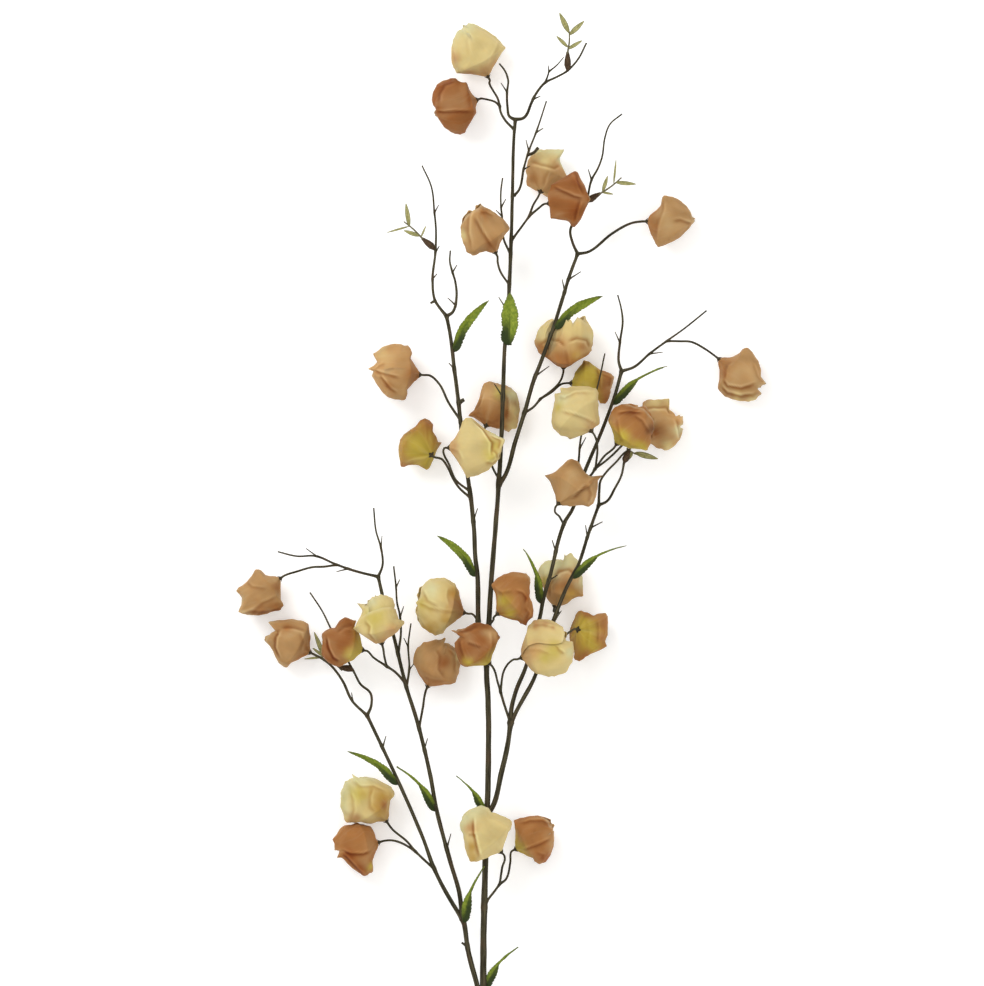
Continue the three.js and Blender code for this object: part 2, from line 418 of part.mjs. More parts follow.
const taper = (from, to, shares) => shares.map((share) => from + (to - from) * share);
const BUD_HUSK_RADII = [1, 2.6, 2.4, 1.2];

// How many sides a twig is made with.
function sidesOf(name, rootRadius) {
  if (rootRadius > THICK_TWIG) return 5;
  return name.includes('spur') ? 3 : 4;
}

function twigRod(name, line, rootRadius, tipRadius) {
  if (typeof name === 'number') {
    const radii = line.map((point, i) => (i < line.length - 2 ? STALK_RADIUS : COLLAR_RADIUS));
    radii[0] = rootRadius;
    return rod(line, radii, 4);
  }
  if (name.startsWith('bud_husk')) return rod(line, BUD_HUSK_RADII, 5);
  const shares = line.map((point, i) => i / (line.length - 1));
  return rod(line, taper(rootRadius, tipRadius, shares), sidesOf(name, rootRadius));
}

// One spray of wood: its twigs fused to each other, and to `trunk` where one is given.
function sprayOfWood(stemLine, twigs, trunk) {
  const lines = { stem: stemLine };
  const solids = trunk ? [toSolid(trunk)] : [];
  for (const [name, parent, rootRadius, tipRadius, lift, route] of twigs) {
    const line = typeof name === 'number'
      ? stalkLine(lines[parent], route, LANTERNS[name - 1])
      : twigLine(lines[parent], route, lift);
    lines[name] = line;
    solids.push(toSolid(twigRod(name, line, rootRadius, tipRadius)));
  }
  return solids.reduce((wood, twig) => wood.add(twig));
}

// ---- Lantern husks ----
function lanternAxis([, heading, rise]) {
  const turn = THREE.MathUtils.degToRad(heading);
  const climb = THREE.MathUtils.degToRad(rise);
  return new THREE.Vector3(
    Math.cos(climb) * Math.cos(turn), Math.cos(climb) * Math.sin(turn), Math.sin(climb));
}

// Half width of a husk at a share of its length, as a share of the greatest half width.
function swell(share, mouth) {
  if (share < SHOULDER) return (share / SHOULDER) ** WIDENING;
  return 1 - (1 - mouth) * ((share - SHOULDER) / (1 - SHOULDER)) ** CLOSING;
}

// One layer of the husk's wall: rings of points from `firstStep` to the mouth, `inset` inside the outside.
function huskRings(lantern, seed, firstStep, steps, inset) {
  const [foot, , , length, halfWidth, roll, mouth, lean] = lantern;
  const axis = lanternAxis(lantern);
  const up = new THREE.Vector3(0, 0, 1).addScaledVector(axis, -axis.z).normalize();
  const across = new THREE.Vector3().crossVectors(axis, up);
  const points = [];
  for (let step = firstStep; step <= steps; step++) {
    for (let petal = 0; petal < PETALS; petal++) {
      const stretch = 1 + PETAL_STRETCH * Math.sin(2.3 * seed + 1.9 * petal); // uneven, but the same each time
      PETAL_COLUMNS.forEach((column, c) => {
        const share = (COLUMN_REACH[c] * step) / steps;
        const full = Math.max(halfWidth * swell(share, mouth) * (1 + COLUMN_SWELL[c]), FOOT_RADIUS);
        const degrees = roll + (360 / PETALS) * petal + (column - 0.5) * COLUMN_SPAN;
        const turn = THREE.MathUtils.degToRad(degrees);
        const forward = lean * (full - FOOT_RADIUS) * Math.sin(turn);
        points.push(new THREE.Vector3(...foot)
          .addScaledVector(axis, length * share * (share > SHOULDER ? stretch : 1) + forward)
          .addScaledVector(up, (full - inset) * Math.cos(turn))
          .addScaledVector(across, (full - inset) * Math.sin(turn)));
      });
    }
  }
  return points;
}

// A husk is one thin wall, folded in along each petal's free edge, open at the mouth and closed at the foot.
function lanternHusk(lantern, seed) {
  const around = PETALS * PETAL_COLUMNS.length;
  const outside = huskRings(lantern, seed, 0, OUTER_STEPS, 0);
  const inside = huskRings(lantern, seed, 1, INNER_STEPS, PETAL_WALL);
  const floor = new THREE.Vector3(...lantern[0]).addScaledVector(lanternAxis(lantern), 2 * PETAL_WALL);

  const faces = [];
  for (let i = 1; i < around - 1; i++) faces.push(0, i + 1, i);
  for (let step = 0; step < OUTER_STEPS; step++) bridge(faces, step * around, (step + 1) * around, around);
  const inner = outside.length;
  for (let step = 0; step < INNER_STEPS - 1; step++) {
    bridge(faces, inner + (step + 1) * around, inner + step * around, around);
  }
  bridge(faces, OUTER_STEPS * around, inner + (INNER_STEPS - 1) * around, around);
  const floorPoint = inner + inside.length;
  for (let i = 0; i < around; i++) faces.push(inner + i, inner + ((i + 1) % around), floorPoint);
  return closedGeometry([...outside, ...inside, floor], faces);
}

// ---- Leaves ----
// A blade from a list of stations along it, each [along, half width], folded up along its midrib.
function blade(stations, fold, thickness) {
  const points = [];
  const faces = [];
  for (const [along, half] of stations) {
    for (const drop of [0, -thickness]) {
      points.push(new THREE.Vector3(along, half, fold * half + drop));
      points.push(new THREE.Vector3(along, 0, drop));
      points.push(new THREE.Vector3(along, -half, fold * half + drop));
    }
  }
  for (let i = 0; i < stations.length - 1; i++) {
    const a = 6 * i;
    const b = a + 6;
    faces.push(a, a + 1, b + 1, a, b + 1, b, a + 1, a + 2, b + 2, a + 1, b + 2, b + 1);
    faces.push(a + 4, a + 3, b + 4, a + 3, b + 3, b + 4, a + 5, a + 4, b + 5, a + 4, b + 4, b + 5);
    faces.push(a, b, b + 3, a, b + 3, a + 3, a + 2, a + 5, b + 5, a + 2, b + 5, b + 2);
  }
  const e = 6 * (stations.length - 1);
  faces.push(0, 4, 1, 0, 3, 4, 1, 4, 5, 1, 5, 2);
  faces.push(e, e + 1, e + 4, e, e + 4, e + 3, e + 1, e + 2, e + 5, e + 1, e + 5, e + 4);
  return closedGeometry(points, faces);
}

function placeAlong(geometry, base, heading, rise, roll) {
  return geometry
    .rotateX(THREE.MathUtils.degToRad(roll))
    .rotateY(-THREE.MathUtils.degToRad(rise))
    .rotateZ(THREE.MathUtils.degToRad(heading))
    .translate(...base);
}

// A lance-shaped leaf on a short stalk, widest a third of the way along, with forward teeth.
function leafBlade([base, heading, rise, length, half, roll, bow]) {
  const stations = [[0, THIN_EDGE], [LEAF_STALK * length, THIN_EDGE]];
  for (let step = 1; step <= LEAF_STEPS; step++) {
    const share = LEAF_STALK + ((1 - LEAF_STALK) * step) / LEAF_STEPS;
    const body = half * Math.sin(Math.PI * share ** LEAF_SKEW) ** LEAF_FULLNESS;
    const notched = step % 2 ? body : body * (1 - TOOTH);
    stations.push([share * length, step === LEAF_STEPS ? LEAF_TIP : Math.max(notched, THIN_EDGE)]);
  }
  const geometry = blade(stations, LEAF_FOLD, BLADE);
  const at = geometry.attributes.position;
  for (let i = 0; i < at.count; i++) {
    const share = at.getX(i) / length;
    at.setY(i, at.getY(i) + 4 * bow * share * (1 - share));
  }
  return placeAlong(geometry, base, heading, rise, roll);
}

// A sprig: a fine stalk with thin leaflets, all one piece.
function sprig([foot, tip, leaflets]) {
  const from = new THREE.Vector3(...foot);
  const to = new THREE.Vector3(...tip);
  let solid = toSolid(rod([from, to], SPRIG_STALK_RADII, 5));
  const run = new THREE.Vector3().subVectors(to, from);
  for (const [x, y, tipX, tipY] of leaflets) {
    const share = THREE.MathUtils.clamp(((x - from.x) * run.x + (y - from.y) * run.y) / run.lengthSq(), 0, 1);
    const root = from.clone().addScaledVector(run, share);
    const length = Math.hypot(tipX - root.x, tipY - root.y);
    const heading = THREE.MathUtils.radToDeg(Math.atan2(tipY - root.y, tipX - root.x));
    const widest = [LEAFLET_WIDEST * length, LEAFLET_WIDTH * length];
    const leaflet = blade([[0, LEAFLET_ENDS], widest, [length, LEAFLET_ENDS]], LEAFLET_FOLD, BLADE);
    solid = solid.add(toSolid(placeAlong(leaflet, root.toArray(), heading, LEAFLET_RISE, 0)));
  }
  return toGeometry(solid);
}

// ---- Assembly ----
const spray = new THREE.Group();

function add(name, geometry, material) {
  const mesh = new THREE.Mesh(geometry, new THREE.MeshStandardMaterial(material));
  mesh.name = name;
  spray.add(mesh);
}

const number = (index) => String(index + 1).padStart(2, '0');

const stemLine = MAIN_STEM_ROUTE.map(([x, y]) => new THREE.Vector3(x, y, archHeight(y)));
const stemShares = sharesAlong(MAIN_STEM_ROUTE);
const stemRadii = taper(STEM_RADIUS, TOP_RADIUS, stemShares);
const stem = rod(stemLine, stemRadii, STEM_SIDES);
const stemWithGap = toSolid(rod(stemLine, stemRadii.map((radius) => radius + SEAT_GAP), STEM_SIDES));

add('main_stem', toGeometry(sprayOfWood(stemLine, MAIN_TWIGS, stem)), BARK);
for (const [name, twigs] of [
  ['spray_upper_right', UPPER_RIGHT_TWIGS],
  ['spray_upper_left', UPPER_LEFT_TWIGS],
  ['spray_lower_right', LOWER_RIGHT_TWIGS],
  ['spray_lower_left', LOWER_LEFT_TWIGS],
]) {
  add(name, toGeometry(sprayOfWood(stemLine, twigs).subtract(stemWithGap)), BARK);
}
LANTERNS.forEach((lantern, i) => add(`lantern_${number(i)}`, lanternHusk(lantern, i), lantern[8]));
LEAVES.forEach((leaf, i) => add(`leaf_${number(i)}`, leafBlade(leaf), LEAF_GREEN));
SPRIGS.forEach((row, i) => add(`sprig_${number(i)}`, sprig(row), SPRIG_GREEN));

export default spray;
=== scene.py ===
import bpy
import bmesh
import math
from mathutils import Matrix, Vector, geometry, noise


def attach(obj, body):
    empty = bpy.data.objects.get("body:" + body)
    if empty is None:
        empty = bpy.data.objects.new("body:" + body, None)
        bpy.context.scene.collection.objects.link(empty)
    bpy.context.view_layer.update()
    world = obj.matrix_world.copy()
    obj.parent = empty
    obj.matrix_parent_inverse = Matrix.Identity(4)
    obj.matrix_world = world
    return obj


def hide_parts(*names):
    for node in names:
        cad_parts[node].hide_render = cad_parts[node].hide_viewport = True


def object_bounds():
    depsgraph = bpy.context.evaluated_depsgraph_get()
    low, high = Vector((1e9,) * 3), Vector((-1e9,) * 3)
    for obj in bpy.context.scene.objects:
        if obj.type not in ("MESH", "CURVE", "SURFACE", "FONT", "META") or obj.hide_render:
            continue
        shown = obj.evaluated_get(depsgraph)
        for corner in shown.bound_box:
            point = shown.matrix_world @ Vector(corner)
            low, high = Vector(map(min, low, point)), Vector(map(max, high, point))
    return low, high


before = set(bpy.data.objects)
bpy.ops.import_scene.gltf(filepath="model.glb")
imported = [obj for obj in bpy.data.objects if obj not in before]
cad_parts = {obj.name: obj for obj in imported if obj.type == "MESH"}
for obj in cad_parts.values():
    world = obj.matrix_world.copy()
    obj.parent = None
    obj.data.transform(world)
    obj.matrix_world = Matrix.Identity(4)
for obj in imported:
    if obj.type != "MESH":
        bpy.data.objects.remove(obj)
cad_box = [list(corner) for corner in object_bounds()]
MM = 0.001

# ---- Table, light and camera ----
# The cut stem lies on a pale table that glows a little. Large soft lights hang round it, and the
# camera looks straight down from so far off that the view is almost flat.
VIEW_CENTRE = Vector((-8.55, 95.85, 50)) * MM
VIEW_LENGTH = 887.4 * MM      # the view's long side, at the height of the stems
CAMERA_HEIGHT = 10
SENSOR = 36
TABLE_REACH = 6               # from the table's middle to its edges
TABLE_GAP = 0.4 * MM          # from the table up to the lowest husks
WHITE = (1, 1, 1, 1)
TABLE_PALE = (0.9, 0.9, 0.89, 1)


def new_object(name, data):
    thing = bpy.data.objects.new(name, data)
    bpy.context.scene.collection.objects.link(thing)
    return thing


def mesh_object(name, shape, material):
    """A smooth object in the scene from a finished shape."""
    mesh = bpy.data.meshes.new(name)
    shape.to_mesh(mesh)
    shape.free()
    mesh.shade_smooth()
    mesh.materials.append(material)
    return new_object(name, mesh)


def set_sockets(sockets, values):
    for name, value in values.items():
        sockets[name].default_value = value


def soft_light(name, place, size, watts):
    lamp = bpy.data.lights.new(name, "AREA")
    lamp.shape = "DISK"
    lamp.size = size
    lamp.energy = watts
    light = new_object(name, lamp)
    light.location = place
    light.rotation_mode = "QUATERNION"
    light.rotation_quaternion = (VIEW_CENTRE - light.location).to_track_quat("-Z", "Y")
    light.visible_camera = False


camera = new_object("camera", bpy.data.cameras.new("camera"))
camera.data.sensor_width = SENSOR
camera.data.lens = SENSOR * CAMERA_HEIGHT / VIEW_LENGTH
camera.data.clip_end = 5 * CAMERA_HEIGHT
camera.location = VIEW_CENTRE + Vector((0, 0, CAMERA_HEIGHT))
bpy.context.scene.camera = camera

soft_light("window_light", Vector((-1.1, 1.3, 2.3)), 1.4, 33)
soft_light("overhead_light", Vector((0.2, 0.1, 3.0)), 2.2, 22)
soft_light("fill_light", Vector((1.8, -1.0, 1.6)), 1.8, 8)

room = bpy.data.worlds.new("room")
room.use_nodes = True
set_sockets(room.node_tree.nodes["Background"].inputs, {"Color": WHITE, "Strength": 0.7})
bpy.context.scene.world = room
bpy.context.scene.view_settings.view_transform = "Standard"   # colours as dyed, white stays white

pale = bpy.data.materials.new("pale_table")
pale.use_nodes = True
set_sockets(pale.node_tree.nodes["Principled BSDF"].inputs, {
    "Base Color": TABLE_PALE, "Roughness": 0.9, "Specular IOR Level": 0.1,
    "Emission Color": WHITE, "Emission Strength": 0.22})

sheet = bmesh.new()
bmesh.ops.create_grid(sheet, x_segments=2, y_segments=2, size=TABLE_REACH)
bmesh.ops.translate(sheet, verts=sheet.verts, vec=(0, 0, cad_box[0][2] - TABLE_GAP))
table_top = mesh_object("table_top", sheet, pale)


# ---- Main stem and the four side sprays ----
# Each is one tapered woody shoot with thin dark bark, ridged lengthwise, that swells where a twig
# leaves it. Side sprays sit against the main stem, and every lantern hangs from a thin stalk.
CUT_Y = -528
STEM_RADIUS = 3.4
TOP_RADIUS = 1.4
CREST_HEIGHT = 54             # the stems lie in one long arch, highest here
CREST_Y = 200
JOIN_SWELL = (0.16, 3.5)      # how much the stem swells where another leaves it, and how far
FORK_SWELL = (0.22, 2.2)      # the same for a twig
ROOT_FLARE = (0.45, 2.5)      # and for a twig's own root
THICK = 1.5                   # a shoot is thicker than this at its root, a twig is thinner
SPUR_TIP = 0.45
BUD_HUSK_RADII = (1.3, 3.2, 2.9, 1.2)
STALK_RADIUS = 1.0
SEAT_GAP = 0.35               # from a stalk's end to the foot of its lantern
NECK_LENGTH = 4
COLLAR_LENGTH = 1.6
COLLAR_RADIUS = 1.3           # at the thickened end of a stalk
CALYX_POINTS = 4
CALYX_RADII = (1.0, 2.5)      # at its foot and its rim
CALYX_DEPTH = 2.2
CALYX_SINK = 0.9              # from the lantern's foot down to the calyx's middle
CALYX_SPREAD = (0.8, 0.55)    # its size between its points, and how much more at them
CALYX_PAPERY = 0.25           # how brown and papery it is
GRAIN_STRETCH = 0.06          # how much slower the bark's pattern runs along a twig than round it
KNOBS = 0.14                  # height of the bark's knobs, as a share of the radius
KNOBS_ROUND = 500             # how closely they follow one another round a twig, and along it
KNOBS_ALONG = 60
# From ring to ring along each kind of wood, in mm, and how many sides it has.
TUBES = {"stem": (3, 14), "shoot": (3, 12), "twig": (2, 8), "spur": (2, 6), "stalk": (2.2, 8),
         "bud": (1.2, 10)}

DARK_BARK = (0.018, 0.015, 0.007, 1)
WORN_BARK = (0.078, 0.066, 0.034, 1)
WARM_PATCH = (0.075, 0.046, 0.024, 1)
PALE_FIBRE = (0.15, 0.135, 0.085, 1)
DARK_BUD = (0.03, 0.017, 0.009, 1)
BROWN_BUD = (0.12, 0.075, 0.038, 1)

# Routes in plan, in mm. Each twig: its name, what it grows from, its radius at root and tip, its
# tip's lift above the arch, and its route. Some rows are shorter: a number is the stalk of that
# lantern, with only a root radius, a bud husk has only a lift, and every spur has the same tip.
MAIN_STEM_ROUTE = [
    (-20, CUT_Y), (-18, -430), (-16.5, -348), (-16, -295.5), (-14.5, -237), (-13, -191), (-12, -159),
    (-12, -91.5), (-13.5, -65), (-11, -14), (-9.5, 12), (-5.5, 63.5), (-3.5, 89.5), (-1, 128), (0.5, 160),
    (3, 228), (6.5, 273), (9, 332.5), (10, 374), (11, 412), (12.5, 432.5),
]

MAIN_TWIGS = [
    ("left_fork", "stem", 1.3, 0.8, -14, (
        (12, 432), (7, 435), (5.5, 442.5), (5, 457), (6, 467.5), (3, 476.5), (-2, 483))),
    ("spur", "left_fork", 0.8, 0, ((5, 457), (-0.5, 465))),
    ("right_fork", "stem", 1.4, 0.8, 4, (
        (12, 432), (20, 433.5), (27, 447), (30, 453.5), (39, 465), (49, 470), (59.5, 476), (69, 486.5),
        (76.5, 501))),
    ("spur", "right_fork", 0.8, 2, ((29, 450.5), (35, 453))),
    ("long_spur", "right_fork", 1, 6, ((39.5, 465.5), (42.5, 475), (42, 480.5))),
    ("spur", "long_spur", 0.9, 8, ((42.5, 475), (50, 481), (56, 488))),
    ("bud_husk_1", "right_fork", 4, ((59.5, 476), (59.5, 481), (59.5, 485.5), (59.5, 493))),
    ("top_stalk", "stem", 1.1, 1, 0, ((11, 423.5), (4, 430.5), (-1, 439.5), (-1.5, 444))),
    (1, "top_stalk", 1, ((-1.5, 444), (-3.5, 451.5), (-7.5, 458.5), (-11, 466))),
    (2, "top_stalk", 1, ((-1.5, 444), (-5.5, 448), (-10.5, 450), (-16.5, 451.5))),
    ("right_twig", "stem", 1.2, 0.7, 4, (
        (11, 363), (16, 369), (20, 388), (24.5, 403.5), (31, 420), (40.5, 448.5))),
    ("spur", "right_twig", 0.8, 4, ((24.5, 403.5), (22, 413.5))),
    ("right_twig_stub", "right_twig", 1.2, 1.5, 5, ((23.5, 400), (29, 402), (33, 406.5))),
    ("spur", "right_twig", 0.8, 4, ((20, 387), (25.5, 390))),
    ("spur", "right_twig", 0.8, 4, ((31, 420), (37.5, 424))),
    ("right_stalk", "stem", 1.1, 1, 2, ((9.3, 323.5), (17.5, 334.5), (25, 345))),
    (3, "right_stalk", 1, ((25, 345), (28.5, 355))),
    (4, "right_stalk", 1, ((25, 345), (33, 351.5))),
    ("bare_twig", "stem", 1, 0.7, -2, (
        (8, 311), (2, 324.5), (0.5, 345), (-0.5, 355), (-0.5, 367.5), (1, 379.5))),
    ("spur", "bare_twig", 0.8, 0, ((-0.3, 353), (4, 360.5))),
    ("spur", "bare_twig", 0.8, -4, ((0.4, 345), (-5, 350.5))),
    (6, "stem", 1, ((7, 283), (-1, 295), (-3.5, 304))),
    ("spur", "stem", 0.9, 2, ((5, 260), (-2.5, 272))),
    ("spur", "stem", 0.9, 2, ((1.4, 182), (-6.5, 194))),
    (10, "stem", 1, ((-1.5, 107), (-8, 119), (-12, 136.5))),
    (18, "stem", 1, ((-11, -23), (-7, -17.5))),
    ("low_stalk", "stem", 1.2, 1.1, 1, ((-15, -278), (-12, -270.5), (-7, -264), (-1.5, -256.5))),
    (29, "low_stalk", 1, ((-1.5, -256.5), (0.5, -241.5))),
    (30, "low_stalk", 1, ((-1.5, -256.5), (4, -252.5), (8, -237))),
]

UPPER_RIGHT_TWIGS = [
    ("shoot", "stem", 2.1, 1.5, 1, (
        (-2.5, 103), (4, 113), (12.5, 142.5), (20.5, 168), (28, 194), (37, 218), (47, 245.5), (54, 268),
        (61, 290.5), (68.5, 311))),
    ("left_fork", "shoot", 1.3, 0.7, 2, (
        (68.5, 311), (64, 321), (62, 333), (70.5, 346), (77, 357), (78, 364), (81, 377.5), (87, 388.5),
        (90.5, 398), (93, 415.5), (97.5, 427.5), (108.5, 437))),
    ("spur", "left_fork", 0.8, 4, ((81, 377.5), (78, 387))),
    ("bud_husk_2", "left_fork", 6, ((77.5, 358), (80, 360), (83, 362), (89, 365.5))),
    (5, "shoot", 1.3, ((68.5, 311), (78.5, 313), (99.5, 329.5), (116.5, 339))),
    ("spur", "shoot", 1, 2, ((60.5, 288), (71.5, 295))),
    ("spur", "shoot", 0.9, 0, ((57, 277), (54.5, 288))),
    ("spur", "shoot", 1, 2, ((30.5, 201), (43, 210))),
    ("stalk", "shoot", 1.2, 1, -1, ((20.5, 168), (28.5, 173), (35, 180.5))),
    (11, "stalk", 1, ((35, 180.5), (45.5, 188.5), (52.5, 196))),
    (12, "stalk", 1, ((35, 180.5), (45.5, 187), (54, 194))),
]

UPPER_LEFT_TWIGS = [
    ("shoot", "stem", 2.3, 1.6, 0, (
        (-13.8, -58), (-20, -36.5), (-21, -14), (-21.5, 20.5), (-23.5, 38), (-25, 67), (-30, 108),
        (-34, 133), (-39, 180.5), (-42.5, 208), (-46.5, 240.5), (-49.5, 255))),
    ("left_top", "shoot", 1.4, 0.7, 0, (
        (-49.5, 255), (-56, 263), (-60, 269.5), (-62, 288.5), (-59.5, 312), (-59, 333), (-60.5, 350),
        (-63, 371), (-71.5, 390.5))),
    ("left_top_stub", "left_top", 1, 0.9, 0, ((-60, 268.5), (-64, 266.5))),
    ("spur", "left_top", 0.8, 2, ((-62, 288.5), (-58, 293))),
    ("spur", "left_top", 0.8, 2, ((-59.5, 312), (-56, 318))),
    ("spur", "left_top", 0.8, 2, ((-60.3, 348), (-56.5, 355))),
    ("bud_husk_3", "left_top", 3, ((-59.7, 315), (-63, 318), (-66.5, 321), (-71.5, 325))),
    ("right_top", "shoot", 1.4, 0.7, 2, (
        (-49.5, 255), (-44, 258.5), (-40.5, 271.5), (-41.5, 285.5), (-45, 297.5), (-46.5, 304), (-46, 314))),
    ("spur", "right_top", 0.8, 3, ((-44.3, 294), (-40, 301))),
    ("spur", "right_top", 0.8, 0, ((-42, 265.5), (-48.5, 271.5))),
    ("thick_stub", "shoot", 1.7, 1.5, 0, ((-38.5, 177), (-33.5, 180))),
    ("spur", "shoot", 0.9, 0, ((-42.3, 207), (-47.5, 213))),
    ("spur", "shoot", 0.9, 2, ((-25.5, 70.5), (-21.5, 82))),
    (7, "shoot", 1.1, ((-36.8, 161), (-47.5, 177), (-56, 194), (-65, 202))),
    (8, "shoot", 1.1, ((-28.5, 92), (-38, 100.5), (-44, 109.5), (-49, 120), (-54, 126.5))),
    (9, "shoot", 1.1, ((-29, 98), (-37.5, 104), (-41.5, 108), (-46.5, 120))),
    (28, "shoot", 1, ((-21, -19.5), (-26.5, -13))),
]

LOWER_RIGHT_TWIGS = [
    ("shoot", "stem", 2.5, 2.2, 2, (
        (-13, -195), (-6.5, -183.5), (-0.5, -158), (4.5, -136.5), (7.5, -117), (8.5, -108.5))),
    ("inner_shoot", "shoot", 2, 1.5, 0, (
        (8.5, -108.5), (8.5, -101.5), (13, -82.5), (21.5, -62), (29, -36.5), (35, -14), (37.5, 0),
        (43.5, 20.5), (56.5, 69), (64, 81.5), (75, 115.5), (88, 146), (102, 184), (108, 205.5))),
    ("far_twig", "inner_shoot", 1.3, 0.7, 2, (
        (108, 205.5), (119, 209), (133, 221), (148.5, 232.5), (164, 243.5), (184.5, 260))),
    ("spur", "far_twig", 0.8, 4, ((133, 221), (145, 222.5))),
    (16, "far_twig", 1, ((148.5, 232.5), (160.5, 232.5), (171, 232), (184, 225.5))),
    ("upright_twig", "inner_shoot", 1.3, 0.7, 3, (
        (108, 205.5), (105.5, 214), (106.5, 231), (109, 250), (107.5, 262.5), (104.5, 274))),
    ("spur", "upright_twig", 0.8, 4, ((106.5, 231), (102, 241))),
    ("spur", "inner_shoot", 0.9, 1, ((49, 43), (45.5, 53.5))),
    ("spur", "inner_shoot", 0.9, 1, ((43, 17.5), (50.5, 22))),
    (14, "inner_shoot", 1, ((56, 68), (52.5, 74))),
    ("bare_twig", "inner_shoot", 1.1, 0.7, 0, (
        (67.5, 93), (68, 109.5), (69.5, 125.5), (71.5, 146), (76, 160.5), (81.5, 175), (87, 194),
        (93, 221.5))),
    ("spur", "bare_twig", 0.8, 1, ((70.5, 136), (76, 146))),
    ("inner_stalk", "inner_shoot", 1.2, 1.1, 1, ((71.5, 106), (80, 111.5), (84.5, 118))),
    (13, "inner_stalk", 1, ((84.5, 118), (86, 137))),
    (15, "inner_stalk", 1, ((84.5, 118), (92.5, 129))),
    (17, "inner_stalk", 1, ((84.5, 118), (96, 126.5), (113, 143.5))),
    ("fork_stalk", "shoot", 1.2, 1.1, 6, ((8, -111), (2, -93), (-1, -82.5))),
    (21, "fork_stalk", 1, ((-1, -82.5), (-3.5, -74))),
    (22, "fork_stalk", 1, ((-1, -82.5), (3, -62), (11, -53.5))),
    ("outer_shoot", "shoot", 2, 1.4, 0, (
        (8, -112), (14, -99.5), (29.5, -70.5), (39, -41), (57.5, 8.5), (64.5, 22.5), (69, 31), (78, 58.5),
        (87.5, 85))),
    ("left_loop", "outer_shoot", 1.2, 0.8, -2, (
        (87.5, 85), (88, 98), (89, 106.5), (95, 115.5), (103.5, 124), (110.5, 132), (116.5, 136))),
    ("right_loop", "outer_shoot", 1.2, 1, -3, (
        (87.5, 85), (95, 88.5), (102, 100), (108, 112), (110.5, 124))),
    ("bud_husk_4", "right_loop", -2, ((110.3, 123), (111.5, 126), (113, 129.5), (115, 134))),
    ("spur", "outer_shoot", 0.9, 1, ((80.2, 64.5), (91, 70))),
    ("spur", "outer_shoot", 0.9, 1, ((77.3, 56), (75.5, 67))),
    ("spur", "outer_shoot", 0.9, 1, ((48, -18.5), (54, -10))),
    (19, "outer_shoot", 1, ((51, -11.5), (49, -8.5))),
    (20, "outer_shoot", 1, ((38, -45), (52, -37), (59, -31))),
]

